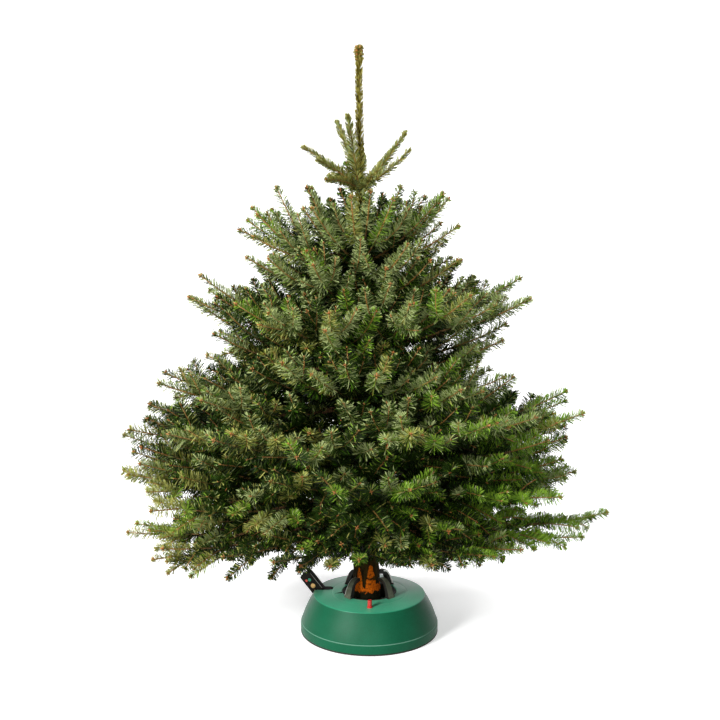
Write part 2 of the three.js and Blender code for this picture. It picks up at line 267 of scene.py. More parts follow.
stand_low, stand_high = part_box("stand_housing")
stand_radius = stand_high.x
collar_low, collar_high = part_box("stand_collar")
well_radius = collar_high.x + 0.3 * MM
deck_top = stand_high.z
pedal_low, pedal_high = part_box("stand_pedal")
pedal_middle = (pedal_low + pedal_high) / 2
pedal_turn = math.atan2(pedal_middle.y, pedal_middle.x)


def arc(centre_r, centre_z, radius, start, end, steps=6):
    """Points of a profile on a round corner, from one angle to another, in degrees."""
    angle = np.radians(np.linspace(start, end, steps))
    return np.stack([centre_r + radius * np.cos(angle), centre_z + radius * np.sin(angle)], -1)


def slot_share(x, y, start):
    """1 within half a width of the pedal's line from start outwards, 0 outside, a smooth step between."""
    along = x * math.cos(pedal_turn) + y * math.sin(pedal_turn)
    across = -x * math.sin(pedal_turn) + y * math.cos(pedal_turn)
    short = np.maximum(start + SLOT_HALF - along, 0)
    distance = np.where(along < 0, 1.0, np.hypot(short, across))
    share = np.clip((SLOT_HALF + 0.5 * MM - distance) / (1.0 * MM), 0, 1)
    return share * share * (3 - 2 * share)


def deck_level(r):
    """Height of the deck: it climbs from the rim to the well as a power of the share of the way."""
    climb = ((RIM_RADIUS - r) / (RIM_RADIUS - well_radius)) ** 0.8
    return RIM_TOP + RIM_STEP + (deck_top - RIM_TOP - RIM_STEP) * climb


def close_poles(piece):
    """Merges the points that meet on an axis, so that the skin is closed there."""
    skin = bmesh.new()
    skin.from_mesh(piece.data)
    bmesh.ops.remove_doubles(skin, verts=skin.verts, dist=MM / 1000)
    skin.to_mesh(piece.data)
    skin.free()


share = np.linspace(0.02, 0.985, 30)
wall_r = (stand_radius - 1.5 * MM) + (RIM_RADIUS - stand_radius + 1.5 * MM) * share
wall_r = wall_r + WALL_BULGE * np.sin(math.pi * share)
wall_z = BAND_TOP + (RIM_TOP - BAND_TOP) * share
deck_r = np.linspace(RIM_RADIUS - 2.4 * MM, well_radius + 4 * MM, 64)
deck_z = deck_level(deck_r) - GROOVE_DEPTH * np.exp(-((deck_r - RING_GROOVE) / GROOVE_HALF) ** 2)
profile = np.concatenate([
    [[0, FOOT_LIFT], [FOOT_INNER, FOOT_LIFT]],
    arc(stand_radius - 2.5 * MM, FOOT_LIFT + 2.5 * MM, 2.5 * MM, -90, 0),
    [[stand_radius, 10 * MM], [stand_radius, 18 * MM]],
    arc(stand_radius - 1.6 * MM, BAND_TOP - 2.4 * MM, 1.6 * MM, 0, 100),
    [[stand_radius - 2.6 * MM, BAND_TOP - 0.6 * MM]],
    np.stack([wall_r, wall_z], -1),
    arc(RIM_RADIUS - 1.3 * MM, RIM_TOP - 0.2 * MM, 1.4 * MM, 15, 88, 5),
    np.stack([deck_r, deck_z], -1),
    arc(well_radius + 2 * MM, deck_top - 2 * MM, 2 * MM, 90, 180, 5),
    [[well_radius, deck_top - 12 * MM], [well_radius, WELL_FLOOR + 3 * MM]],
    arc(well_radius - 3 * MM, WELL_FLOOR + 3 * MM, 3 * MM, 0, -90, 4),
    [[0.03, WELL_FLOOR], [0, WELL_FLOOR]],
])
turns = np.concatenate([
    np.linspace(pedal_turn - SLOT_SPREAD, pedal_turn + SLOT_SPREAD, 112, endpoint=False),
    np.linspace(pedal_turn + SLOT_SPREAD, pedal_turn + 2 * math.pi - SLOT_SPREAD, 236,
                endpoint=False),
])
housing_x = profile[:, 0, None] * np.cos(turns)
housing_y = profile[:, 0, None] * np.sin(turns)
housing_z = np.broadcast_to(profile[:, 1, None], housing_x.shape)
above = np.maximum(housing_z - (deck_top - SLOT_DEPTH), 0)
outer_side = profile[:, 0, None] > well_radius + 1 * MM
housing_z = housing_z - above * slot_share(housing_x, housing_y, SLOT_START) * outer_side
housing_points = np.stack([housing_x, housing_y, housing_z], -1).reshape(-1, 3)

green, green_shader, green_place = new_finish("green_plastic", paint(34, 112, 82), 0.42)
green_speckle = green_place.noise(0.0016, 2.0).between(0.32, 0.68)
green_cloud = green_place.noise(0.05, 2.0).between(0.25, 0.75)
green_tone = green_speckle * 0.7 + green_cloud * 0.3
green_height = green_place.node("ShaderNodeSeparateXYZ", {}, {"Vector": green_place}, output=2)
green_deck = green_height.between(RIM_TOP - 1 * MM, RIM_TOP + 2 * MM)
# Painted light and shade: the deck is painted a lighter green, as if lit from above, and the wall of the
# same plastic a darker one, as if in shade.
green_wall_shaded_tone = green_tone.mix(paint(8, 80, 52), paint(18, 98, 68))
green_deck_lit_tone = green_tone.mix(paint(48, 160, 118), paint(66, 184, 140))
# A painted highlight: a pale line round the top of the band, where the crease catches the light.
green_crease_highlight = green_height.between(BAND_TOP - 1.4 * MM, BAND_TOP - 0.8 * MM) \
    * (1 - green_height.between(BAND_TOP + 0.4 * MM, BAND_TOP + 1.0 * MM))
green_crease_highlight_tone = green_tone.mix(paint(112, 166, 142), paint(140, 186, 166))
green_colour = green_deck.mix(green_wall_shaded_tone, green_deck_lit_tone)
green_colour = (green_crease_highlight * 0.55).mix(green_colour, green_crease_highlight_tone)
set_socket(green_shader, "Base Color", green_colour)
set_socket(green_shader, "Roughness", green_speckle * 0.10 + green_deck * 0.2 + 0.42)
set_bump(green_shader, green_place.noise(0.0011, 2.0), 0.00025)
green_shader.inputs["Specular IOR Level"].default_value = 0.16
set_socket(green_shader, "Coat Weight", green_deck * 0.7)
green_shader.inputs["Coat Roughness"].default_value = 0.32
green_shader.inputs["Sheen Weight"].default_value = 0.25
green_shader.inputs["Sheen Roughness"].default_value = 0.35
housing_faces = facing_out(housing_points, grid_faces(len(profile), len(turns), True))
housing = make_piece("housing", housing_points, housing_faces, [green])
close_poles(housing)
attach(housing, "root")
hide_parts("stand_housing")


# Rubber ring. A black ring pressed into the underside of the housing, so that it can't slide.

def ring_piece(name, outline, sides, finishes):
    """A closed ring: the outline, points of (r, z) taken anticlockwise, turned about the axis."""
    angle = np.linspace(0, 2 * math.pi, sides, endpoint=False)
    outline = np.asarray(outline)
    rows = np.stack([outline[:, 0, None] * np.cos(angle), outline[:, 0, None] * np.sin(angle),
                     np.broadcast_to(outline[:, 1, None], (len(outline), sides))], -1)
    points = rows.reshape(-1, 3)
    faces = grid_faces(len(rows) + 1, sides, True) % len(points)
    return make_piece(name, points, facing_out(points, faces), finishes)


def mottled_finish(name, low, high, size, roughness, metallic=0.0):
    """A finish that drifts between two paints in patches of about that size."""
    finish, shader, place = new_finish(name, paint(*low), roughness, metallic)
    set_socket(shader, "Base Color", place.noise(size).mix(paint(*low), paint(*high)))
    return finish, shader, place


rubber, rubber_shader, rubber_place = mottled_finish(
    "black_rubber", (26, 24, 18), (46, 38, 30), 0.004, 0.8)
set_bump(rubber_shader, rubber_place.noise(0.0009), 0.0002)
foot_outline = np.concatenate([
    [[stand_radius - 14 * MM, 0], [stand_radius - 3 * MM, 0]],
    arc(stand_radius - 1.4 * MM, 1.6 * MM, 1.6 * MM, -60, 60, 6),
    [[stand_radius - 3 * MM, FOOT_LIFT + 0.2 * MM], [stand_radius - 14 * MM, FOOT_LIFT + 0.2 * MM]],
])
foot_ring = ring_piece("foot_ring", foot_outline, 160, [rubber])
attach(foot_ring, "root")


# Collar. A black ring of glass-filled plastic in the mouth of the well, ribbed on its inner wall,
# that the claws stand on.

RING_INNER = 62 * MM
RIB_COUNT = 24

black, black_shader, black_place = mottled_finish(
    "black_plastic", (17, 18, 13), (33, 34, 26), 0.006, 0.45)
black_grain = black_place.noise(0.0012, 2.0)
set_socket(black_shader, "Roughness", black_grain * 0.2 + 0.5)
black_shader.inputs["Specular IOR Level"].default_value = 0.15
set_bump(black_shader, black_grain, 0.0002)
collar_outline = np.concatenate([
    [[RING_INNER, collar_low.z], [well_radius - 0.3 * MM, collar_low.z]],
    arc(well_radius - 1.3 * MM, collar_high.z - 1 * MM, 1 * MM, 0, 90, 4),
    arc(RING_INNER + 1 * MM, collar_high.z - 1 * MM, 1 * MM, 90, 180, 4),
    [[RING_INNER, collar_high.z - 6 * MM]],
])
collar_ring = ring_piece("collar", collar_outline, 144, [black])
rib_angle = np.linspace(0, 2 * math.pi, RIB_COUNT, endpoint=False)[:, None]
rib_r = np.array([0, -2.4, -2.4, 0, 0, -2.4, -2.4, 0]) * MM + RING_INNER + 0.4 * MM
rib_w = np.array([-1.2, -0.9, 0.9, 1.2] * 2) * MM
rib_z = np.repeat([collar_low.z + 1 * MM, collar_high.z - 2 * MM], 4)
rib_points = np.stack(np.broadcast_arrays(
    rib_r * np.cos(rib_angle) - rib_w * np.sin(rib_angle),
    rib_r * np.sin(rib_angle) + rib_w * np.cos(rib_angle), rib_z), -1)
box_faces = np.array([[0, 1, 5, 4], [1, 2, 6, 5], [2, 3, 7, 6], [3, 0, 4, 7],
                      [0, 3, 2, 1], [4, 5, 6, 7]])
rib_faces = (box_faces[None] + 8 * np.arange(RIB_COUNT)[:, None, None]).reshape(-1, 4)
rib_points = rib_points.reshape(-1, 3)
collar_ribs = make_piece("collar_ribs", rib_points, facing_out(rib_points, rib_faces), [black],
                         smooth=False)
for piece in (collar_ring, collar_ribs):
    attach(piece, "root")
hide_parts("stand_collar")


# Claws. Four pressed steel horns, black inside and on their flanks, each with a grey cover plate
# on its outer face, and two with a near-white strip along one flank: a painted highlight that
# stands for the glint on a glossy flank. They turn on a pin at the foot and bite the trunk.

CLAW_TURNS = {"back_right": 45, "back_left": 135, "front_left": 225, "front_right": 315}
HIGHLIGHT_STRIP_SIDES = ("front_left", "back_right")
CLAW_FOOT_HALF = 9.8 * MM
CLAW_TIP_HALF = 3.6 * MM
CLAW_FLARE = 1.2 * MM                    # how much further the very foot spreads
CLAW_ROWS = 28
COVER_ROWS = slice(0, 24)                # the length of the claw that its cover plate takes
COVER_LIFT = np.array([0.15, 1.1]) * MM  # under and upper side of the plate, over the claw
STRIP_ROWS = slice(2, 22)
STRIP_WIDTH = 3.0 * MM
PIN_RADIUS = 77.5 * MM                   # from the stand's axis to the pin
PIN_RISE = 3.2 * MM


def curve_through(points, steps):
    """A smooth line through points: each stretch is a cubic whose slopes follow its neighbours."""
    points = np.asarray(points, float)
    before = np.concatenate([2 * points[:1] - points[1:2], points[:-1]])
    after = np.concatenate([points[1:], 2 * points[-1:] - points[-2:-1]])
    slope = (after - before) / 2
    place = np.linspace(0, len(points) - 1, steps)
    cell = np.minimum(place.astype(int), len(points) - 2)
    t = (place - cell)[:, None]
    return ((2 * t ** 3 - 3 * t ** 2 + 1) * points[cell] + (t ** 3 - 2 * t ** 2 + t) * slope[cell]
            + (3 * t ** 2 - 2 * t ** 3) * points[cell + 1] + (t ** 3 - t ** 2) * slope[cell + 1])


def loft(name, sections, finishes, sharp=32):
    """A closed skin over an array of rings (rows, size, 3), split at edges sharper than an angle."""
    rows, size = sections.shape[:2]
    sides = grid_faces(rows, size, True)
    fan = np.arange(1, size - 1)
    last = (rows - 1) * size
    start = np.stack([np.zeros_like(fan), fan + 1, fan], -1)
    end = np.stack([np.full_like(fan, last), last + fan, last + fan + 1], -1)
    faces = np.concatenate([sides[:, [0, 1, 2]], sides[:, [0, 2, 3]], start, end])
    points = sections.reshape(-1, 3)
    piece = make_piece(name, points, facing_out(points, faces), finishes)
    if sharp:
        piece.data.set_sharp_from_angle(angle=math.radians(sharp))
    return piece


foot_z = collar_high.z + 0.3 * MM
claw_low, claw_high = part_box("stand_claw_front_left")
crown_z = claw_high.z
claw_outer = curve_through([[80 * MM, foot_z], [76.5 * MM, foot_z + 13 * MM],
                            [69 * MM, foot_z + 31 * MM], [59 * MM, crown_z - 4 * MM],
                            [47 * MM, crown_z - 0.5 * MM], [32 * MM, crown_z - 3.5 * MM]],
                           CLAW_ROWS)
claw_inner = curve_through([[67 * MM, foot_z], [64.5 * MM, foot_z + 12 * MM],
                            [60.5 * MM, foot_z + 22 * MM], [54.5 * MM, crown_z - 14 * MM],
                            [45 * MM, crown_z - 11 * MM], [32 * MM, crown_z - 9 * MM]], CLAW_ROWS)
claw_normal = np.gradient(claw_outer, axis=0)
claw_normal = np.stack([claw_normal[:, 1], -claw_normal[:, 0]], -1)
claw_normal /= np.linalg.norm(claw_normal, axis=1, keepdims=True)


def claw_half(t):
    """Half the width of a claw: a power of the way from tooth to foot, and a flare at the foot."""
    return CLAW_TIP_HALF + (CLAW_FOOT_HALF - CLAW_TIP_HALF) * (1 - t) ** 0.9 \
        + CLAW_FLARE * np.exp(-(t / 0.06) ** 2)


def turned(radial, across, z, turn):
    """Points from a distance out, a distance across to the left and a height, at a turn."""
    c, s = math.cos(turn), math.sin(turn)
    return np.stack(np.broadcast_arrays(radial * c - across * s, radial * s + across * c, z), -1)


def claw_sections(inner, outer, half, turn, bevel=0.10):
    """Rings with bevelled corners between an inner and an outer line, half wide on each side."""
    ring_u = np.array([-1, -1, -1 + bevel, 1 - bevel, 1, 1, 1 - bevel, -1 + bevel])
    ring_v = np.array([bevel, 1 - bevel, 1, 1, 1 - bevel, bevel, 0, 0])
    middle = inner[:, None] + (outer - inner)[:, None] * ring_v[None, :, None]
    return turned(middle[..., 0], half[:, None] * ring_u, middle[..., 1], turn)


black_steel, black_steel_shader, black_steel_place = new_finish(
    "claw_black", paint(22, 22, 17), 0.5)
black_steel_grain = black_steel_place.noise(0.0015)
set_socket(black_steel_shader, "Base Color",
           black_steel_grain.mix(paint(15, 15, 11), paint(32, 32, 25)))
set_socket(black_steel_shader, "Roughness", black_steel_place.noise(0.004) * 0.2 + 0.4)
black_steel_shader.inputs["Specular IOR Level"].default_value = 0.3
set_bump(black_steel_shader, black_steel_grain, 0.00015)

grey_steel, grey_steel_shader, grey_steel_place = new_finish(
    "claw_grey", paint(100, 102, 90), 0.6)
grey_steel_grain = grey_steel_place.noise(0.0012, 2.0)
grey_worn = grey_steel_place.noise(0.012, 4.0).between(0.42, 0.72)
set_socket(grey_steel_shader, "Base Color", grey_worn.mix(paint(84, 87, 70), paint(106, 110, 92)))
set_socket(grey_steel_shader, "Roughness", grey_worn * 0.15 + 0.5)
grey_steel_shader.inputs["Specular IOR Level"].default_value = 0.3
set_bump(grey_steel_shader, grey_steel_grain, 0.00012)

# A near-white glossy finish for the flank strips: a painted highlight, the glint of a glossy black flank.
bright_steel, highlight_steel_shader, highlight_steel_place = new_finish(
    "bright_steel", paint(232, 233, 228), 0.3, metallic=0.3)
set_socket(highlight_steel_shader, "Roughness", highlight_steel_place.noise(0.002) * 0.15 + 0.15)

half = claw_half(np.linspace(0, 1, CLAW_ROWS))
cover_inner, cover_outer = (
    claw_outer[COVER_ROWS] + lift * claw_normal[COVER_ROWS] for lift in COVER_LIFT)
strip_low = claw_outer[STRIP_ROWS] * 0.70 + claw_inner[STRIP_ROWS] * 0.30
strip_high = claw_outer[STRIP_ROWS] * 0.96 + claw_inner[STRIP_ROWS] * 0.04
strip_corner = np.array([[0, 0], [1, 0], [1, 1], [0, 1]])
strip_line = strip_low[:, None] + (strip_high - strip_low)[:, None] * strip_corner[None, :, 1, None]
strip_across = 0.2 * MM - half[STRIP_ROWS][:, None] - STRIP_WIDTH * strip_corner[None, :, 0]
pin_angle = np.linspace(0, 2 * math.pi, 14, endpoint=False)
pin_reach = np.array([-13.2, -12.8, 12.8, 13.2]) * MM
pin_girth = np.array([1.4, 1.9, 1.9, 1.4]) * MM
pin_r = PIN_RADIUS + pin_girth[:, None] * np.cos(pin_angle)
pin_z = foot_z + PIN_RISE + pin_girth[:, None] * np.sin(pin_angle)
for side, degrees in CLAW_TURNS.items():
    turn = math.radians(degrees)
    body = loft(f"claw_{side}", claw_sections(claw_inner, claw_outer, half, turn), [black_steel])
    parts = [body]
    parts.append(loft(f"claw_cover_{side}",
                      claw_sections(cover_inner, cover_outer, half[COVER_ROWS] * 1.03, turn, 0.05),
                      [grey_steel]))
    # Two claws carry a painted highlight strip along one flank.
    if side in HIGHLIGHT_STRIP_SIDES:
        parts.append(loft(f"claw_strip_{side}",
                          turned(strip_line[..., 0], strip_across, strip_line[..., 1], turn),
                          [bright_steel], 40))
    parts.append(loft(f"claw_pin_{side}", turned(pin_r, pin_reach[:, None], pin_z, turn),
                      [black_steel]))
    for piece in parts:
        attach(piece, "root")
    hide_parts(f"stand_claw_{side}")


# Cable groove. A narrow black wedge that runs out over the deck from the well: painted shade that
# stands for the dark mouth of the groove that takes the cable from the pedal to the claws.

CABLE_TURN = math.radians(192)
CABLE_END = 92 * MM

groove_r = np.linspace(well_radius + 1.5 * MM, CABLE_END, 14)
groove_half = np.linspace(4.6, 0.5, 14) * MM
groove_z = deck_level(groove_r)
groove_u = np.array([-1, -0.8, 0.8, 1, 0.8, -0.8])
groove_v = np.array([0, 0.45, 0.45, 0, -0.8, -0.8]) * MM
groove_shade = loft("cable_groove",
              turned(groove_r[:, None], groove_half[:, None] * groove_u,
                     groove_z[:, None] + groove_v, CABLE_TURN), [black])
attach(groove_shade, "root")


# Float peg. A small red plastic peg with a flared foot that rises through the deck as the well
# fills with water.

PEG_SIDES = 48

red, red_shader, red_place = mottled_finish(
    "red_plastic", (176, 32, 26), (206, 54, 42), 0.004, 0.3)
set_bump(red_shader, red_place.noise(0.0008), 0.0001)
float_low, float_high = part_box("stand_float")
float_middle = (float_low + float_high) / 2
peg_radius = (float_high.x - float_low.x) / 2
peg_profile = np.concatenate([
    [[0, float_low.z - 1.2 * MM], [peg_radius + 0.9 * MM, float_low.z - 1.2 * MM],
     [peg_radius + 0.9 * MM, float_low.z + 1.2 * MM], [peg_radius - 0.2 * MM, float_low.z + 2.4 * MM],
     [peg_radius - 0.4 * MM, float_high.z - 2 * MM]],
    arc(peg_radius - 1.9 * MM, float_high.z - 1.5 * MM, 1.5 * MM, 10, 90, 4),
    [[2.4 * MM, float_high.z - 0.1 * MM], [1.9 * MM, float_high.z - 0.7 * MM],
     [0, float_high.z - 0.7 * MM]],
])
peg_angle = np.linspace(0, 2 * math.pi, PEG_SIDES, endpoint=False)
peg_points = np.stack(np.broadcast_arrays(
    float_middle.x + peg_profile[:, 0, None] * np.cos(peg_angle),
    float_middle.y + peg_profile[:, 0, None] * np.sin(peg_angle),
    peg_profile[:, 1, None]), -1)
peg_points = peg_points.reshape(-1, 3)
peg_faces = facing_out(peg_points, grid_faces(len(peg_profile), PEG_SIDES, True))
peg = make_piece("float_peg", peg_points, peg_faces, [red])
close_poles(peg)
peg.data.set_sharp_from_angle(angle=math.radians(35))
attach(peg, "root")
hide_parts("stand_float")


# Pedal. A thick black lever that rises from the slot in the deck, with a ribbed tread, a pale
# bead along its upper edges, and plain colour discs pressed into its flank.

PEDAL_SLOPE = math.radians(50)
PEDAL_LENGTH = 68 * MM
PEDAL_DEPTH = 31 * MM
PEDAL_WIDTH = 22 * MM
ARM_WIDTH = 24 * MM
BEAD_ROWS = 20
BEAD_RADIUS = 0.75 * MM
pedal_root_r = RIM_RADIUS - 10 * MM
pedal_root_z = RIM_TOP + 3 * MM
pedal_r = pedal_root_r + (PEDAL_LENGTH / 2 - 12 * MM) * math.cos(PEDAL_SLOPE) + 3 * MM
pedal_z = pedal_root_z + (PEDAL_LENGTH / 2 - 14 * MM) * math.sin(PEDAL_SLOPE) - 2 * MM


def on_pedal(s, across, d):
    """Points from a distance up the pedal, one across it and one out of its tread."""
    radial = pedal_r + s * math.cos(PEDAL_SLOPE) - d * math.sin(PEDAL_SLOPE)
    z = pedal_z + s * math.sin(PEDAL_SLOPE) + d * math.cos(PEDAL_SLOPE)
    return turned(radial, across, z, pedal_turn)


def rounded_outline(corners, radii, steps=6):
    """A convex outline, anticlockwise, with each corner cut back into an arc-like curve."""
    corners = np.asarray(corners, float)
    line = []
    for k, (corner, radius) in enumerate(zip(corners, radii)):
        back = corners[k - 1] - corner
        forth = corners[(k + 1) % len(corners)] - corner
        first = corner + back / np.linalg.norm(back) * radius
        final = corner + forth / np.linalg.norm(forth) * radius
        t = np.linspace(0, 1, steps)[:, None]
        line.append((1 - t) ** 2 * first + 2 * t * (1 - t) * corner + t ** 2 * final)
    return np.concatenate(line)


half_length, half_depth = PEDAL_LENGTH / 2, PEDAL_DEPTH / 2
pedal_outline = rounded_outline(
    [[-half_length, -half_depth], [half_length, -half_depth], [half_length, half_depth],
     [-half_length, half_depth]], [5 * MM, 6 * MM, 9 * MM, 4 * MM])
rise = np.array([-1, -0.97, -0.9, 0.9, 0.97, 1]) * PEDAL_WIDTH / 2
inset = np.array([0.94, 0.985, 1, 1, 0.985, 0.94])
pedal_ring = on_pedal(pedal_outline[None, :, 0] * inset[:, None], rise[:, None],
                      pedal_outline[None, :, 1] * inset[:, None])
pedal_black, pedal_black_shader, pedal_black_place = mottled_finish(
    "pedal_black", (12, 11, 6), (26, 24, 17), 0.008, 0.7)
set_bump(pedal_black_shader, pedal_black_place.noise(0.001, 2.0), 0.0002)
pedal_black_shader.inputs["Specular IOR Level"].default_value = 0.15
pedal = loft("pedal", pedal_ring, [pedal_black])
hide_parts("stand_pedal")

arm_end = np.linspace(math.pi / 2, 3 * math.pi / 2, 12)
arm_outline = np.concatenate([
    np.stack([SLOT_START + ARM_WIDTH / 2 * (1 + np.cos(arm_end)),
              ARM_WIDTH / 2 * np.sin(arm_end)], -1),
    [[pedal_root_r, -ARM_WIDTH / 2], [pedal_root_r, ARM_WIDTH / 2]]])
arm_sink = np.array([12.0, 0.0, -0.8]) * MM
arm_inset = np.array([0, 0, 0.7]) * MM
arm_middle = arm_outline.mean(0)
arm_shape = arm_outline[None] - np.sign(arm_outline - arm_middle)[None] * arm_inset[:, None, None]
arm_level = np.interp(arm_shape[..., 0], deck_r[::-1], deck_z[::-1]) - arm_sink[:, None]
arm = loft("pedal_arm", turned(arm_shape[..., 0], arm_shape[..., 1], arm_level, pedal_turn),
           [pedal_black])

rib_s = np.linspace(-8 * MM, half_length - 9 * MM, 8)
rib_profile = np.array([[-1.1, -0.3], [1.1, -0.3], [0.6, 1.0], [-0.6, 1.0]]) * MM
rib_across = np.array([-1, 1]) * (PEDAL_WIDTH / 2 - 2 * MM)
pedal_pieces = [pedal, arm]
for k, s in enumerate(rib_s):
    ring = on_pedal(s + rib_profile[None, :, 0], rib_across[:, None],
                    half_depth + rib_profile[None, :, 1])
    pedal_pieces.append(loft(f"pedal_rib_{k + 1}", ring, [pedal_black], 30))

pale_bead = mottled_finish("pale_bead", (96, 98, 86), (196, 198, 188), 0.003, 0.5)[0]
bead_s = np.linspace(-half_length + 9 * MM, half_length - 10 * MM, BEAD_ROWS)
bead_angle = np.linspace(0, 2 * math.pi, 8, endpoint=False)
bead_size = BEAD_RADIUS * np.sin(np.linspace(0.15, math.pi - 0.15, BEAD_ROWS)) ** 0.3
for k, edge in enumerate((-1, 1)):
    ring = on_pedal(bead_s[:, None],
                    edge * (PEDAL_WIDTH / 2 - 0.7 * MM) + bead_size[:, None] * np.cos(bead_angle),
                    half_depth - 0.3 * MM + bead_size[:, None] * np.sin(bead_angle))
    pedal_pieces.append(loft(f"pedal_bead_{k + 1}", ring, [pale_bead], 0))

brass = mottled_finish("brass", (150, 116, 62), (206, 172, 110), 0.0025, 0.38, metallic=0.6)[0]
dot_green = mottled_finish("dot_green", (22, 130, 96), (50, 168, 130), 0.002, 0.4)[0]
dot_red = mottled_finish("dot_red", (220, 56, 44), (240, 92, 70), 0.002, 0.4)[0]

# Each disc's name, its place up the pedal and out of its middle, its radius in mm, and its finish.
DISCS = [("disc_brass", -6, -0.5, 6.4, brass), ("disc_green", 12.5, 2.2, 4.4, dot_green),
         ("disc_red", 15.5, -6.2, 3.4, dot_red), ("rivet", -18.5, -4.0, 1.9, brass)]
angle = np.linspace(0, 2 * math.pi, 32, endpoint=False)
swell = np.array([1, 1, 0.9, 0.45])
out = np.array([-0.4, 0.35, 0.7, 0.85]) * MM
for name, s, d, radius, material in DISCS:
    ring = on_pedal((s + radius * swell[:, None] * np.cos(angle)) * MM,
                    PEDAL_WIDTH / 2 + out[:, None],
                    (d + radius * swell[:, None] * np.sin(angle)) * MM)
    pedal_pieces.append(loft(f"pedal_{name}", ring, [material], 30))
for piece in pedal_pieces:
    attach(piece, "root")


# Trunk. The cut stem, clamped in the claws: dark scaly bark in upright plates, swollen a little at
# each whorl, and scraped to the orange under-bark where the claws have been set against it.

TRUNK_ROWS = 430
TRUNK_SIDES = 108
KNOT_HALF = 14 * MM                      # how far the swelling at a whorl reaches up and down
KNOT_SWELL = 0.09
SCRAPE_FOOT = 112 * MM                   # the band that is scraped to the under-bark
SCRAPE_TOP = 131 * MM
SHADE_FROM = 118 * MM                     # below this the foot of the trunk is painted darker: painted shade in the well
SHADE_FULL = 106 * MM
PLATE_SIZE = 7.5 * MM
SCALE_SIZE = 3.2 * MM


def node_points(name):
    """The corners of a CAD node's mesh, as an array (n, 3)."""
    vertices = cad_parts[name].data.vertices
    points = np.empty(len(vertices) * 3, np.float32)
    vertices.foreach_get("co", points)
    return points.reshape(-1, 3).astype(float)


def lumps(points, size, seed):
    """Smooth relief from -1 to 1: random heights at the corners of cubes of that size, blended."""
    cell = points / size
    base = np.floor(cell).astype(int)
    part = cell - base
    part = part * part * (3 - 2 * part)
    heights = np.random.default_rng(seed).uniform(-1, 1, (32, 32, 32))
    total = np.zeros(points.shape[:-1])
    for corner in itertools.product((0, 1), repeat=3):
        weight = np.prod(np.where(corner, part, 1 - part), axis=-1)
        index = (base + corner) % 32
        total += weight * heights[index[..., 0], index[..., 1], index[..., 2]]
    return total


stem = node_points("trunk")
stem_levels = np.unique(stem[:, 2].round(5))
stem_rings = [stem[np.abs(stem[:, 2] - z) < 1e-5] for z in stem_levels]
stem_x = [(ring[:, 0].min() + ring[:, 0].max()) / 2 for ring in stem_rings]
stem_radius = [(np.ptp(ring[:, 0]) + np.ptp(ring[:, 1])) / 4 for ring in stem_rings]


def trunk_x(z):
    """Where the trunk's middle lies across at a height, straight between the rings of its solid."""
    return np.interp(z, stem_levels, stem_x)


def trunk_radius(z):
    """The trunk's radius at a height, straight between the rings of its solid."""
    return np.interp(z, stem_levels, stem_radius)


whorl_heights = sorted({round(float(node_points(n)[:, 2].mean()), 3)
                        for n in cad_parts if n.startswith("foliage_") and n.endswith("_1")})
rise = np.linspace(0, 1, TRUNK_ROWS) ** 1.6
trunk_z = stem_levels[0] + (stem_levels[-1] - 6 * MM - stem_levels[0]) * rise
trunk_turn = np.linspace(0, 2 * math.pi, TRUNK_SIDES, endpoint=False)
radius = trunk_radius(trunk_z)
knot = sum(np.exp(-((trunk_z - z) / KNOT_HALF) ** 2) for z in whorl_heights if z < 1.1)
radius = radius * (1 + KNOT_SWELL * knot)
smooth_x = radius[:, None] * np.cos(trunk_turn)
smooth_y = radius[:, None] * np.sin(trunk_turn)
smooth = np.stack([smooth_x, smooth_y, np.broadcast_to(trunk_z[:, None], smooth_x.shape)], -1)
plates = lumps(smooth * [1, 1, 0.34], PLATE_SIZE, 3)
scales = lumps(smooth * [1, 1, 0.6], SCALE_SIZE, 4)
relief = 1.5 * (1 - np.abs(plates)) ** 2 - 0.9 + 0.45 * scales
relief = relief * MM * np.clip(radius / 0.03, 0.12, 1)[:, None]
swell = (radius[:, None] + relief) / radius[:, None]
trunk_points = np.stack([trunk_x(trunk_z)[:, None] + smooth_x * swell, smooth_y * swell,
                         smooth[..., 2]], -1)

bark, bark_shader, bark_place = new_finish("bark", paint(46, 40, 20), 0.9)
bark_grain = bark_place.noise(0.006, 5.0, (1, 1, 0.35)).between(0.3, 0.72)
bark_fleck = bark_place.noise(0.0022, 3.0)
bark_tone = bark_grain.mix(paint(18, 13, 2), paint(58, 42, 12))
moss = bark_place.noise(0.02, 3.0).between(0.56, 0.7)
bark_tone = (moss * 0.4).mix(bark_tone, paint(56, 58, 18))
bark_x = bark_place.node("ShaderNodeSeparateXYZ", {}, {"Vector": bark_place})
bark_z = Wire(bark_x.socket.node.outputs["Z"])
# Painted shade: the foot of the trunk is painted near-black where it goes down into the shaded well
# between the claws.
bark_tone = bark_z.between(SHADE_FROM, SHADE_FULL).mix(bark_tone, paint(22, 22, 8))
bark_shader.inputs["Specular IOR Level"].default_value = 0.1
ragged = bark_place.noise(0.011, 4.0)
torn = bark_place.noise(0.0045, 3.0)


def hump(place, middle, half, top):
    """A rise of that top at the middle: a parabola that comes down to nothing half away from it."""
    away = (place - middle) * (1 / half)
    return (1 - away.math("MINIMUM", away * away, 1.0)) * top


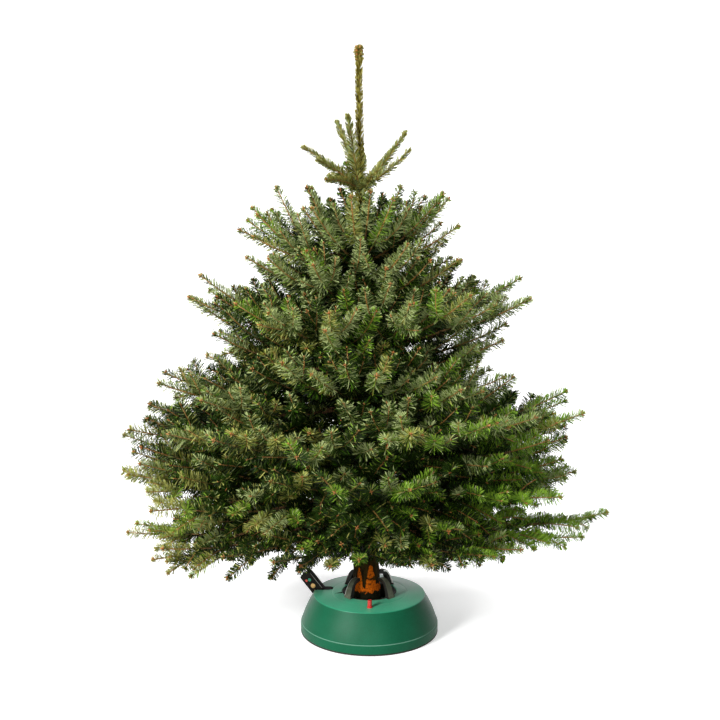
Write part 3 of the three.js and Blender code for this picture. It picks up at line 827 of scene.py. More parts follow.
scrape_top = SCRAPE_TOP + hump(bark_x, -0.026, 0.008, 0.044) + hump(bark_x, 0.003, 0.014, 0.052) \
    - hump(bark_x, -0.011, 0.008, 0.010)
scrape_z = bark_z + (ragged - 0.5) * 0.028
scraped = scrape_z.between(SCRAPE_FOOT - 0.001, SCRAPE_FOOT + 0.001) \
    * (1 - (scrape_z - scrape_top).between(-0.001, 0.001)) * torn.between(0.32, 0.38) \
    * (1 - hump(scrape_z, 0.1475, 0.005, 1.0) * bark_x.between(-0.020, -0.014))
orange = torn.between(0.4, 0.66).mix(paint(176, 82, 6), paint(216, 102, 8))
orange = bark_fleck.between(0.64, 0.72).mix(orange, paint(206, 132, 60))
set_socket(bark_shader, "Base Color", scraped.mix(bark_tone, orange))
set_bump(bark_shader, bark_grain * 0.6 + bark_fleck * 0.4, 0.0012)
trunk = loft("trunk_bark", trunk_points, [bark], 0)
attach(trunk, "root")
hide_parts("trunk")


# Branching. Each whorl carries boughs that fork into limbs, and shorter limbs stand between the
# whorls. A limb is a few years old: each year it adds a shoot, and at each yearly node it throws
# side shoots that grow forwards and outwards and branch again, where the crown leaves them room.

UP = np.array([0.0, 0.0, 1.0])
YEAR_GROWTH = (0.108, 0.096, 0.090)      # length of a year's shoot on limbs, side and last shoots
MOST_YEARS = (9, 4, 1)
SIDE_SHARE = (0.84, 0.86)                # side shoot's length over what its axis has left to grow
LONGEST_SIDE = (0.25, 0.105)
SHORTEST_SIDE = 0.065
SHORTEST = 0.045                         # a shoot that would end up shorter than this is dropped
SIDE_ANGLES = (42, 58)                   # degrees between a side shoot and its axis
UPPER_ANGLES = (45, 80)                  # degrees that a third shoot leans up, and a fourth down
LOWER_ANGLES = (40, 75)
LOWER_ODDS = 0.6
LIFT_HEIGHTS = (0.20, 0.30, 0.42, 0.55, 0.70, 0.88, 1.05, 1.20)
LIFTS = (-0.60, -0.42, -0.02, 0.32, 0.48, 0.62, 0.80, 0.95)      # how steeply side shoots rise
TIP_CLEAR = 0.037                        # least gap from a new shoot's tip to any older one
CLEAR_STEP = 0.02                        # spacing of the points that stand for older shoots
CUTS = (1.0, 0.84, 0.7, 0.56)            # shares of its length that a crowded shoot tries in turn
BARE_SHARE = 0.12                        # inner share of a limb with no side shoots
BRUSH_END = 0.010                        # how far needles stand past the tip of a shoot
LIMB_GIRTH = 1.5 * MM                    # a limb's radius at its foot, before what its span adds
TWIG_GIRTH = 1.35 * MM                   # radius at the tip of a shoot
THINNEST_SIDE = 1.4 * MM
chance = np.random.default_rng(11)
shoots = []
taken = np.empty((0, 3))
waiting = [[], [], []]

# A year's growth: the CAD node it replaces, that node's row, its order of branching and age, its
# radius at both ends, the three points of its quadratic curve, which way is up for its needles, and
# the share of its needles that stand all round it.
Shoot = collections.namedtuple(
    "Shoot", "node row order age girth_start girth_end start bend end up wrap")


def unit(vectors):
    """Vectors over their own length."""
    return vectors / np.linalg.norm(vectors, axis=-1, keepdims=True)


def on_curve(start, bend, end, t):
    """The place at a share t of the quadratic curve from start to end that leans towards bend."""
    return (1 - t) ** 2 * start + 2 * t * (1 - t) * bend + t ** 2 * end


def curve_heading(start, bend, end, t):
    """The slope of that curve, not made unit."""
    return 2 * (1 - t) * (bend - start) + 2 * t * (end - bend)


def polar(points):
    """Distance and direction from the trunk's line, seen from above."""
    x = points[..., 0] - trunk_x(points[..., 2])
    return np.hypot(x, points[..., 1]), np.arctan2(points[..., 1], x)


def from_polar(reach, turn, height):
    """The point at that distance and direction from the trunk's line at a height."""
    return np.array([trunk_x(height) + reach * math.cos(turn), reach * math.sin(turn), height])


def turn_between(angle, other):
    """The difference of two directions, from minus to plus half a turn."""
    return (angle - other + math.pi) % (2 * math.pi) - math.pi


class Fan:
    """The room of one foliage mass: its row, its root height, its turn and its three finger tips."""

    def __init__(self, name):
        points = node_points(name)
        self.name = name
        self.row = int(name.split("_")[1])
        reach, angle = polar(points)
        far = reach > 0.6 * reach.max()
        rough = math.atan2(np.sin(angle[far]).mean(), np.cos(angle[far]).mean())
        apart = turn_between(angle[far], rough)
        self.turn = rough + (apart.max() + apart.min()) / 2
        self.half = (apart.max() - apart.min()) / 2
        share = turn_between(angle, self.turn) / self.half
        self.tips = []
        for low, high in ((-1.1, -0.34), (-0.34, 0.34), (0.34, 1.1)):
            inside = far & (share > low) & (share < high)
            best = points[inside][np.argmax(reach[inside])]
            near = np.hypot(*(points[:, :2] - best[:2]).T) < 0.004
            self.tips.append(np.array([best[0], best[1], points[near, 2].mean()]))
        bough = "bough_" + name.split("_", 1)[1]
        inner = node_points(bough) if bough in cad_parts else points
        inner_reach = polar(inner)[0]
        self.root_z = inner[inner_reach < inner_reach.min() + 0.02, 2].mean()
        self.reach = max(polar(tip)[0] for tip in self.tips)


fans = [Fan(name) for name in sorted(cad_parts)
        if name.startswith("foliage_") and name != "foliage_leader"]
ROWS = sorted({fan.row for fan in fans})
LEADER_ROW, TOP_ROW, LOWEST_ROW = 0, ROWS[0], ROWS[-1]
row_rims = []
for row in ROWS:
    rim = np.array([tip for fan in fans if fan.row == row for tip in fan.tips])
    row_rims.append((polar(rim)[1], polar(rim)[0], rim[:, 2]))

# Notches in the crown's outline: direction and half its breadth in degrees, from and to height,
# and the reach that is left there.
NOTCHES = (
    (0, 30, 0.322, 0.358, 0.375), (180, 30, 0.322, 0.392, 0.450),
    (0, 30, 0.640, 0.710, 0.300),
    (180, 45, 0.715, 0.775, 0.370), (180, 45, 0.660, 0.705, 0.440),
    (-165, 40, 0.100, 0.240, 0.500), (-165, 40, 0.240, 0.300, 0.540),
)
DRAWN_IN = 0.5                           # how strongly the outline draws in between two whorls
UNDERCUT = 0.8                           # loss of reach over the drop below the lowest whorl

# The height of the crown's underside. It rises like a cone near the trunk, and in lobes: direction
# in degrees, rise at the near reach, near reach, far reach, and rise at the far one.
FLOOR_HEIGHT = 0.222
CONE_REACH = 0.15
CONE_SLOPE = 0.2
FLOOR_RISES = (
    (0, 0.000, 0.25, 0.50, 0.070), (-90, 0.010, 0.16, 0.48, 0.120), (-165, 0.020, 0.28, 0.42, -0.020),
    (-135, 0.020, 0.16, 0.40, 0.040), (90, -0.010, 0.16, 0.50, -0.010),
)


def crown_room(turn, height):
    """Reach of the crown's outline there: from whorl to whorl, drawn in a little between them."""
    for degrees, half, low, high, reach in NOTCHES:
        if abs(turn_between(turn, math.radians(degrees))) < math.radians(half) \
                and low < height < high:
            return reach
    reaches = [np.interp(turn, angle, reach, period=2 * math.pi) for angle, reach, z in row_rims]
    heights = [np.interp(turn, angle, z, period=2 * math.pi) for angle, reach, z in row_rims]
    place = np.interp(height, heights[::-1], np.arange(len(heights))[::-1])
    between = place - math.floor(place)
    reach = np.interp(place, np.arange(len(reaches)), reaches)
    under = max(0.0, heights[-1] - height)
    return reach * (1 - DRAWN_IN * between * (1 - between)) - UNDERCUT * under - BRUSH_END


def fit_room(start, tip):
    """The share of the way from start to tip that stays inside the crown's outline."""
    reach, turn = polar(tip)
    floor_height = FLOOR_HEIGHT + CONE_SLOPE * max(0.0, CONE_REACH - reach)
    for degrees, low, near, far, high in FLOOR_RISES:
        towards = max(0.0, math.cos(turn - math.radians(degrees))) ** 4
        floor_height += towards * np.interp(reach, (near, far), (low, high))
    if tip[2] < floor_height:
        share = (start[2] - floor_height) / max(start[2] - tip[2], 1e-6)
        return share * fit_room(start, start + share * (tip - start)) if share > 0 else 0.0
    limit = crown_room(turn, tip[2])
    if reach <= limit:
        return 1.0
    begun = polar(start)[0]
    return max(0.0, (limit - begun) / max(reach - begun, 1e-6))


def vigour(height):
    """Growth and needle length at a height, over those halfway up: weak in the shade below."""
    return np.interp(height, (0.2, 0.30, 0.42, 0.75, 1.0), (0.66, 0.82, 0.94, 1.0, 1.12))


def side_shoot(along, sign, raised):
    """The first heading of a side shoot: spread from its axis, and rolled about it by an angle."""
    side = unit(np.cross(along, UP))
    over = np.cross(side, along)
    spread = math.radians(chance.uniform(*SIDE_ANGLES))
    roll = raised + math.radians(chance.normal(5, 14))
    return math.cos(spread) * along + math.sin(spread) * (
        sign * math.cos(roll) * side + math.sin(roll) * over)


def grow(fan, start, bend, tip, order, girth, wrap=0.0):
    """Grows an axis on a quadratic curve: yearly shoots, and side axes that wait for their turn."""
    global taken
    length = (np.linalg.norm(bend - start) + np.linalg.norm(tip - bend)
              + 2 * np.linalg.norm(tip - start)) / 3
    growth = YEAR_GROWTH[order] * vigour(start[2])
    years = int(np.clip(round(length / growth), 1, MOST_YEARS[order]))
    cuts = np.concatenate([[0], np.cumsum(chance.uniform(0.85, 1.15, years))])
    cuts /= cuts[-1]
    thick = TWIG_GIRTH + (girth - TWIG_GIRTH) * (1 - cuts) ** 1.15
    tilt = chance.normal(0, np.interp(start[2], (0.4, 1.0), (0.42, 0.16)), 3)
    for year in range(years):
        a, b = cuts[year], cuts[year + 1]
        foot = on_curve(start, bend, tip, a)
        middle = foot + (b - a) / 2 * curve_heading(start, bend, tip, a)
        shoots.append(Shoot(fan.name, fan.row, order, years - 1 - year, thick[year], thick[year + 1],
                            foot, middle, on_curve(start, bend, tip, b), unit(UP + tilt), wrap))
    steps = np.linspace(0.2, 1, max(2, int(length / CLEAR_STEP)))[:, None]
    taken = np.concatenate([taken, on_curve(start, bend, tip, steps)])
    if order == 2:
        return
    for node in range(1, years):
        t = cuts[node]
        base = on_curve(start, bend, tip, t)
        if order == 0 and polar(base)[0] < BARE_SHARE * fan.reach:
            continue
        along = unit(curve_heading(start, bend, tip, t))
        ways = [(-1, 0.0), (1, 0.0)]
        if order == 0:
            ways.append((chance.choice([-1, 1]), math.radians(chance.uniform(*UPPER_ANGLES))))
        if order == 0 and chance.random() < LOWER_ODDS:
            ways.append((chance.choice([-1, 1]), -math.radians(chance.uniform(*LOWER_ANGLES))))
        for sign, raised in ways:
            out = side_shoot(along, sign, raised)
            strength = vigour(base[2])
            reach = min(SIDE_SHARE[order] * (1 - t) * length, strength * LONGEST_SIDE[order])
            reach = max(reach * chance.uniform(0.85, 1.12), SHORTEST_SIDE * strength)
            if raised:
                reach = min(reach, strength * chance.uniform(0.06, 0.095))
            lift = np.interp(base[2], LIFT_HEIGHTS, LIFTS) + chance.normal(0, 0.16)
            aim = unit(out + 0.25 * along + (lift - (0.35 if raised < 0 else 0)) * UP)
            waiting[2 if raised else order + 1].append(
                (fan, base, out, aim, reach, max(0.62 * thick[node], THINNEST_SIDE)))


def grow_waiting(order):
    """Grows the side axes of one order, each cut short or dropped where the crown is full."""
    for fan, base, out, aim, reach, girth in waiting[order]:
        strength = vigour(base[2])
        old = taken[np.linalg.norm(taken - base, axis=1) < reach + TIP_CLEAR]
        old = old[np.linalg.norm(old - base, axis=1) > 0.3 * reach]
        for share in CUTS:
            length = share * reach * fit_room(base, base + share * reach * aim)
            if length < SHORTEST * strength:
                continue
            end = base + length * aim
            clear = np.linalg.norm(old - end, axis=1).min() if len(old) else 1.0
            if clear > strength * TIP_CLEAR * (0.6 + 0.4 * share):
                grow(fan, base, base + 0.46 * length * out, end, order, girth)
                break


# The whorls' boughs, by row. Each starts a little below its mass's root and sags by a share of its
# span. It forks near the trunk towards its mass's other two tips, and from row 4 down twice more.
DIPS = {2: 0.22, 3: 0.17, 4: 0.13, 5: 0.11, 6: 0.08, 7: 0.05, 8: 0.03}
DROPS = {2: 0.06, 3: 0.06, 4: 0.06, 5: 0.04, 6: 0.03, 7: 0.01, 8: 0.0}
RIGHT_DROP = 0.016                       # how much the lowest boughs' tips hang on the right
for fan in fans:
    if fan.row == TOP_ROW:
        continue
    root = np.array([trunk_x(fan.root_z), 0, fan.root_z]) - DROPS[fan.row] * UP
    tips = [tip - BRUSH_END * unit(tip - root) for tip in fan.tips]
    if fan.row == LOWEST_ROW:
        tips = [tip - RIGHT_DROP * max(0.0, math.cos(fan.turn)) * UP for tip in tips]
    way = tips[1] - root
    root = root + 0.6 * trunk_radius(fan.root_z) * unit(way * [1, 1, 0])
    way = tips[1] - root
    span = np.linalg.norm(way)
    girth = LIMB_GIRTH + 0.0098 * span
    dip = DIPS[fan.row]
    bend = root + 0.55 * way - dip * span * UP
    grow(fan, root, bend, tips[1], 0, girth)
    for tip in (tips[0], tips[2]):
        fork = chance.uniform(0.04, 0.1) if fan.row < 4 else chance.uniform(0.08, 0.2)
        start = on_curve(root, bend, tips[1], fork)
        aim = unit(unit(tip - start) + 0.3 * unit(way))
        if fan.row == LOWEST_ROW:
            tip = tip * [0.92, 0.92, 1]
        reach = np.linalg.norm(tip - start)
        grow(fan, start, start + 0.5 * reach * aim - dip * reach * UP, tip, 0, 0.8 * girth)
    for side in (-1, 1) if fan.row > 3 else ():
        turn = fan.turn + side * fan.half * chance.uniform(0.38, 0.62)
        height = tips[1][2] + chance.uniform(-0.06, 0.07)
        tip = from_polar(chance.uniform(0.78, 0.97) * crown_room(turn, height), turn, height)
        start = on_curve(root, bend, tips[1], chance.uniform(0.2, 0.35))
        reach = np.linalg.norm(tip - start)
        grow(fan, start, start + 0.5 * (tip - start) - dip * reach * UP, tip, 0, 0.6 * girth)

# The top whorl's single shoots: direction in degrees, and reach and height of the tip.
TOP_SHOOTS = (
    (178, 0.160, 1.245), (-160, 0.130, 1.213), (-141, 0.130, 1.168), (136, 0.112, 1.310),
    (-150, 0.062, 1.316), (4, 0.084, 1.280), (-24, 0.100, 1.236), (62, 0.110, 1.240),
    (98, 0.128, 1.232), (-88, 0.105, 1.176), (140, 0.130, 1.180),
)
TOP_FOOT = 1.150
for degrees, reach, height in TOP_SHOOTS:
    turn = math.radians(degrees)
    start = from_polar(0.004, turn, TOP_FOOT)
    tip = np.array([reach * math.cos(turn), reach * math.sin(turn), height])
    tip = tip + 0.006 * unit(tip - start)
    sag = 0.012 if reach * math.cos(turn) < 0 else -0.016
    fan = min(fans, key=lambda fan: abs(turn_between(fan.turn, turn)) + 9 * fan.row)
    grow(fan, start, start + 0.5 * (tip - start) + sag * UP, tip, 2, 2.2 * MM, wrap=0.6)

# The strongest limbs between the whorls: direction in degrees, height at the trunk,
# and reach and height of the tip.
STRONG_LIMBS = (
    (-90, 0.965, 0.150, 1.140), (-167, 0.800, 0.234, 1.150), (-2, 0.990, 0.180, 1.136),
    (-177, 0.985, 0.324, 1.046), (172, 0.940, 0.312, 1.068), (-162, 0.880, 0.314, 0.982),
    (14, 0.950, 0.185, 1.060), (-12, 0.950, 0.222, 1.056), (4, 0.900, 0.205, 0.975),
    (-35, 0.960, 0.210, 1.130), (-70, 0.900, 0.250, 1.020), (-121, 0.890, 0.285, 1.005),
    (-150, 0.940, 0.185, 1.100), (178, 0.740, 0.428, 0.930), (-177, 0.690, 0.452, 0.878),
    (172, 0.700, 0.388, 0.782), (-160, 0.690, 0.400, 0.800), (5, 0.800, 0.385, 0.922),
    (-8, 0.760, 0.400, 0.878), (0, 0.715, 0.345, 0.808), (16, 0.690, 0.335, 0.765),
    (-82, 0.800, 0.310, 0.935), (-106, 0.690, 0.370, 0.835), (-18, 0.700, 0.340, 0.780),
    (-98, 0.640, 0.405, 0.765), (-117, 0.620, 0.430, 0.767), (-60, 0.585, 0.400, 0.700),
    (0, 0.490, 0.366, 0.672), (2, 0.520, 0.505, 0.632), (-11, 0.500, 0.535, 0.598),
    (-30, 0.480, 0.480, 0.560), (0, 0.430, 0.500, 0.505), (10, 0.350, 0.512, 0.400),
    (-51, 0.500, 0.450, 0.625), (-128, 0.520, 0.500, 0.610), (-166, 0.440, 0.580, 0.480),
    (178, 0.520, 0.565, 0.598), (180, 0.450, 0.630, 0.522), (-171, 0.400, 0.620, 0.452),
    (-172, 0.450, 0.520, 0.560), (-2, 0.335, 0.612, 0.322), (-30, 0.330, 0.420, 0.285),
    (-158, 0.340, 0.540, 0.285), (-138, 0.350, 0.460, 0.300), (-117, 0.360, 0.350, 0.320),
    (-84, 0.370, 0.320, 0.330), (-47, 0.350, 0.420, 0.300), (-170, 0.330, 0.560, 0.300),
    (-148, 0.400, 0.500, 0.400), (-62, 0.400, 0.380, 0.370), (-95, 0.410, 0.360, 0.385),
    (-74, 0.430, 0.340, 0.405), (-103, 0.370, 0.300, 0.325), (-90, 0.470, 0.400, 0.480),
    (-122, 0.350, 0.310, 0.262), (-66, 0.360, 0.280, 0.310), (90, 0.930, 0.280, 1.040),
    (70, 0.700, 0.380, 0.800), (120, 0.440, 0.560, 0.520), (45, 0.450, 0.540, 0.510),
    (95, 0.560, 0.470, 0.690), (-176, 0.430, 0.600, 0.487), (175, 0.420, 0.560, 0.462),
    (-6, 0.470, 0.492, 0.556), (-12, 0.420, 0.486, 0.482), (-7, 0.380, 0.498, 0.424),
    (-172, 0.480, 0.560, 0.580), (-167, 0.440, 0.575, 0.520), (-122, 0.340, 0.130, 0.242),
    (-100, 0.345, 0.140, 0.256), (-70, 0.350, 0.165, 0.246), (-54, 0.350, 0.250, 0.268),
    (-30, 0.350, 0.200, 0.258), (-140, 0.350, 0.200, 0.255), (-131, 0.360, 0.262, 0.226),
    (-174, 0.370, 0.500, 0.314), (-178, 0.350, 0.600, 0.292), (-169, 0.340, 0.520, 0.218),
    (-170, 0.950, 0.290, 1.030), (-175, 0.900, 0.250, 0.980), (-22, 0.900, 0.135, 1.098),
    (-34, 0.940, 0.090, 1.152), (178, 0.900, 0.146, 1.148), (-150, 0.930, 0.110, 1.120),
    (-3, 0.450, 0.500, 0.522),
)

# Weak sprays that hang from among the lowest limbs, told in the same way.
HANGING = (
    (-168, 0.335, 0.520, 0.190), (-175, 0.335, 0.550, 0.232), (-160, 0.335, 0.470, 0.200),
    (-150, 0.340, 0.400, 0.210), (-24, 0.345, 0.360, 0.240), (-10, 0.335, 0.500, 0.252),
    (-18, 0.335, 0.430, 0.262), (-46, 0.345, 0.285, 0.262), (-136, 0.345, 0.330, 0.222),
    (-70, 0.350, 0.150, 0.232), (-120, 0.350, 0.200, 0.262),
)


def set_limb(degrees, foot, reach, height, middle, sag, thickening):
    """Grows a limb off the trunk. Its bend lies part of the way along, sunk by a share of its span."""
    turn = math.radians(degrees)
    fan = min(fans, key=lambda fan: abs(turn_between(fan.turn, turn)) + 8 * abs(fan.root_z - foot))
    start = from_polar(0.6 * trunk_radius(foot), turn, foot)
    tip = np.array([reach * math.cos(turn), reach * math.sin(turn), height])
    span = np.linalg.norm(tip - start)
    grow(fan, start, start + middle * (tip - start) - sag * span * UP, tip, 0,
         LIMB_GIRTH + thickening * span)


for limb in STRONG_LIMBS:
    set_limb(*limb, middle=0.5, sag=0.14, thickening=0.0095)
for limb in HANGING:
    set_limb(*limb, middle=0.55, sag=-0.14, thickening=0.0075)

# Between two whorls, shorter and steeper limbs come straight off the trunk. By row: how steeply
# they climb, in degrees, and how many there are.
CLIMBS = {2: 48, 3: 46, 4: 40, 5: 36, 6: 30, 7: 22, 8: 8}
BETWEEN = {2: 5, 3: 9, 4: 12, 5: 18, 6: 16, 7: 14, 8: 8}
root_heights = {row: np.mean([fan.root_z for fan in fans if fan.row == row]) for row in ROWS}
for row, count in BETWEEN.items():
    row_fans = [fan for fan in fans if fan.row == row]
    for number in range(count):
        turn = 2 * math.pi * (number + chance.uniform(-0.3, 0.3)) / count + row
        fan = min(row_fans, key=lambda fan: abs(turn_between(fan.turn, turn)))
        rise = chance.uniform(0.05, 0.9 if row > 2 else 0.35)
        height = root_heights[row] + rise * (root_heights[row - 1] - root_heights[row])
        climb = math.tan(math.radians(CLIMBS[row] + chance.normal(0, 6)))
        share = chance.uniform(0.55, 0.95)
        reach = 0.1
        for _ in range(6):
            reach = 0.5 * reach + 0.5 * share * crown_room(turn, height + climb * reach)
        start = from_polar(0.6 * trunk_radius(height), turn, height)
        tip = from_polar(reach, turn, height + climb * reach)
        span = np.linalg.norm(tip - start)
        clear = np.linalg.norm(taken - tip, axis=1).min()
        if clear > TIP_CLEAR:
            grow(fan, start, start + 0.5 * (tip - start) - 0.12 * span * UP, tip, 0,
                 LIMB_GIRTH + 0.0095 * span)
grow_waiting(1)
grow_waiting(2)


def needled_stem(node, row, age, girth_start, girth_end, start, end):
    """Adds a straight shoot that grows no side shoots, with needles all round it."""
    shoots.append(Shoot(node, row, 2, age, girth_start, girth_end, start, (start + end) / 2, end,
                        UP, 1.0))


# The leader, with short spurs in a spiral close round the buds at its top. The trunk's two youngest
# years under it carry needles too.
SPURS = 9
SPUR_TURN = 2.4                          # radians from one spur to the next
SPUR_BAND = 0.030
leader_low, leader_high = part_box("foliage_leader")
leader_foot = np.array([trunk_x(leader_low.z - 0.004), 0, leader_low.z - 0.004])
leader_tip = np.array([trunk_x(leader_high.z) + 0.003, 0, leader_high.z - 0.009])
needled_stem("foliage_leader", LEADER_ROW, 0, 3.4 * MM, 2.4 * MM, leader_foot, leader_tip)
for number in range(SPURS):
    turn = SPUR_TURN * number
    foot = leader_tip - [0, 0, SPUR_BAND * (number / (SPURS - 1))]
    way = np.array([math.cos(turn), math.sin(turn), 0.7 + 0.12 * number % 0.5])
    end = foot + (0.0055 + 0.0015 * (number % 3)) * unit(way)
    needled_stem("foliage_leader", LEADER_ROW, 0, 1.5 * MM, 1.5 * MM, foot, end)
for low, high, age in ((0.99, 1.075, 1), (1.075, leader_foot[2], 0)):
    needled_stem(fans[0].name, fans[0].row, age, 1 * MM, 1 * MM,
                 from_polar(0, 0, low), from_polar(0, 0, high))

(shoot_node, shoot_row, shoot_order, shoot_age, girth_start, girth_end, point_a, point_b, point_c,
 shoot_up, shoot_wrap) = (np.array(column) for column in zip(*shoots))
shoot_length = (np.linalg.norm(point_c - point_a, axis=1) * 2
                + np.linalg.norm(point_b - point_a, axis=1)
                + np.linalg.norm(point_c - point_b, axis=1)) / 3


def along_shoots(which, t):
    """Places and headings on the quadratic curves of some shoots, at shares t of their length."""
    t = t[..., None]
    a, b, c = point_a[which], point_b[which], point_c[which]
    if t.ndim == 3:
        a, b, c = a[:, None], b[:, None], c[:, None]
    return on_curve(a, b, c, t), unit(curve_heading(a, b, c, t))


def brush_frame(heading, up):
    """Two directions across a shoot: level, and square to both, on the side that faces up."""
    side = np.cross(heading, up)
    weak = np.linalg.norm(side, axis=-1, keepdims=True) < 0.15
    side = unit(np.where(weak, np.cross(heading, np.array([0.3, 1.0, 0.1])), side))
    return side, np.cross(side, heading)


# Wood. The old inner lengths of the limbs have rough grey-brown bark with relief, and the young
# twigs are thin and smooth, orange-brown in their first year and darker after.

LIMB_RELIEF = 0.7 * MM


def wood(name, which, steps, sides, finishes, finish, rough=0.0):
    """Tapering tubes along shoots, closed at both ends, with an optional relief in metres."""
    t = np.broadcast_to(np.linspace(0, 1, steps), (len(which), steps))
    place, heading = along_shoots(which, t)
    side, over = brush_frame(heading, shoot_up[which][:, None])
    girth = girth_start[which][:, None] * (1 - t) + girth_end[which][:, None] * t
    turn = np.linspace(0, 2 * math.pi, sides, endpoint=False)
    round_way = side[:, :, None] * np.cos(turn)[:, None] + over[:, :, None] * np.sin(turn)[:, None]
    points = place[:, :, None] + girth[..., None, None] * round_way
    if rough:
        bump = lumps(points, 0.006, 5) * 0.6 + lumps(points, 0.0025, 6) * 0.4
        points = points + rough * np.clip(girth / 0.006, 0.2, 1)[..., None, None] \
            * bump[..., None] * round_way
    body = grid_faces(steps, sides, True)
    corner = np.arange(1, sides - 1)
    cap = np.stack([np.zeros_like(corner), corner + 1, corner], -1)
    end = (steps - 1) * sides + cap[:, ::-1]
    one = np.concatenate([body[:, [0, 1, 2]], body[:, [0, 2, 3]], cap, end])
    start = (np.arange(len(which)) * steps * sides)[:, None, None]
    return make_piece(name, points.reshape(-1, 3), (one[None] + start).reshape(-1, 3), finishes,
                      np.repeat(finish, len(one)))


limb_bark, limb_shader, limb_place = new_finish("limb_bark", paint(84, 62, 34), 0.85)
limb_grain = limb_place.noise(0.004, 4.0).between(0.3, 0.7)
set_socket(limb_shader, "Base Color", limb_grain.mix(paint(58, 42, 20), paint(128, 92, 52)))
set_bump(limb_shader, limb_grain, 0.0006)
is_limb = (shoot_order == 0) & (shoot_age >= 2)
limb_index = np.flatnonzero(is_limb)
boughs = wood("boughs", limb_index, 6, 10, [limb_bark], np.zeros(len(limb_index), int), LIMB_RELIEF)
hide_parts(*[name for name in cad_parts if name.startswith("bough_")])

twig_young = new_finish("twig_young", paint(156, 110, 54), 0.6)[0]
twig_second = new_finish("twig_second", paint(108, 80, 34), 0.65)[0]
twig_old = new_finish("twig_old", paint(64, 48, 22), 0.75)[0]
twig_index = np.flatnonzero(~is_limb)
twigs = wood("twigs", twig_index, 4, 4, [twig_young, twig_second, twig_old],
             np.clip(shoot_age[twig_index], 0, 2))
for piece in (boughs, twigs):
    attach(piece, "root")


# Buds. Each last-year shoot ends in a resting bud with a smaller one on each side, and strong ones
# have two more. The leader carries rings of larger buds at its top and a few along it. Each bud is
# an ovoid of two rings between two points.

BUD_SIDES = 4
LEADER_BUDS = 6                          # in each ring of the leader's cluster
# Each ring of that cluster: its height over the leader's tip, its buds' size, and its radius, in mm.
LEADER_RINGS = ((0.0, 1.7, 3.4), (-8.0, 1.6, 5.6), (-17.0, 1.3, 6.0), (-27.0, 1.1, 5.0))

last = np.flatnonzero((shoot_age == 0) & (shoot_row > LEADER_ROW))
tip_place, tip_heading = along_shoots(last, np.full(len(last), 1.0))
tip_side, tip_over = brush_frame(tip_heading, shoot_up[last])
bud_scale = np.where(shoot_order[last] == 0, 1.35, 0.9) * chance.uniform(0.85, 1.2, len(last))
strong = (shoot_order[last] == 0) | (shoot_row[last] == TOP_ROW)
bud_places, bud_ways, bud_sizes = [tip_place], [tip_heading], [bud_scale]
for sign in (-1, 1):
    bud_places.append(tip_place + (sign * 1.6 * tip_side - 1.5 * tip_heading) * MM)
    bud_ways.append(unit(tip_heading + sign * 0.85 * tip_side + 0.2 * tip_over))
    bud_sizes.append(bud_scale * 0.8)
    bud_places.append((tip_place + (sign * 1.6 * tip_over - 2.5 * tip_heading) * MM)[strong])
    bud_ways.append(unit(tip_heading + sign * 1.1 * tip_over)[strong])
    bud_sizes.append(bud_scale[strong] * 0.9)
crown_turn = np.linspace(0, 2 * math.pi, LEADER_BUDS, endpoint=False)
crown_way = np.stack([0.8 * np.cos(crown_turn), 0.8 * np.sin(crown_turn), np.ones(LEADER_BUDS)], -1)
for lower, size, wide in LEADER_RINGS:
    bud_places.append(leader_tip + (crown_way * [wide / 0.8, wide / 0.8, 0] + [0, 0, lower]) * MM)
    bud_ways.append(unit(crown_way))
    bud_sizes.append(np.full(LEADER_BUDS, size))
bud_places.append(leader_tip[None] + [[0, 0, 1 * MM]])
bud_ways.append(UP[None])
bud_sizes.append(np.array([1.9]))
knob_share = np.array([0.22, 0.4, 0.55, 0.68, 0.8])
knob_turn = np.array([0.2, 3.0, 5.9, 2.6, 0.4])
knob_way = unit(np.stack([np.cos(knob_turn), np.sin(knob_turn), np.full(len(knob_turn), 0.6)], -1))
bud_places.append(leader_foot + (leader_tip - leader_foot) * knob_share[:, None]
                  + knob_way * 5 * MM)
bud_ways.append(knob_way)
bud_sizes.append(np.full(len(knob_turn), 1.1))
bud_place = np.concatenate(bud_places)
bud_way = np.concatenate(bud_ways)
bud_size = np.concatenate(bud_sizes)[:, None, None]
bud_side, bud_over = brush_frame(bud_way, np.broadcast_to(UP, bud_way.shape))
bud_turn = np.linspace(0, 2 * math.pi, BUD_SIDES, endpoint=False)
bud_ring = bud_side[:, None] * np.cos(bud_turn)[:, None] \
    + bud_over[:, None] * np.sin(bud_turn)[:, None]
bud_points = np.concatenate([
    bud_place[:, None] - bud_size * 0.3 * MM * bud_way[:, None],
    bud_place[:, None] + bud_size * (1.7 * bud_ring + 1.4 * bud_way[:, None]) * MM,
    bud_place[:, None] + bud_size * (1.3 * bud_ring + 3.6 * bud_way[:, None]) * MM,
    bud_place[:, None] + bud_size * 5.4 * MM * bud_way[:, None]], 1)
step = np.arange(BUD_SIDES)
after = (step + 1) % BUD_SIDES
low_ring, high_ring, point = 1, 1 + BUD_SIDES, 1 + 2 * BUD_SIDES
bud_faces = np.concatenate([
    np.stack([np.zeros_like(step), low_ring + after, low_ring + step], -1),
    np.stack([low_ring + step, low_ring + after, high_ring + after], -1),
    np.stack([low_ring + step, high_ring + after, high_ring + step], -1),
    np.stack([high_ring + step, high_ring + after, np.full_like(step, point)], -1)])
bud_start = (np.arange(len(bud_place)) * bud_points.shape[1])[:, None, None]
bud_brown = new_finish("bud_brown", paint(168, 100, 46), 0.5)[0]
bud_rose = new_finish("bud_rose", paint(172, 120, 66), 0.5)[0]
bud_kind = np.repeat(chance.integers(0, 2, len(bud_place)), len(bud_faces))
buds = make_piece("buds", bud_points.reshape(-1, 3), (bud_faces[None] + bud_start).reshape(-1, 3),
                  [bud_brown, bud_rose], bud_kind)
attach(buds, "root")


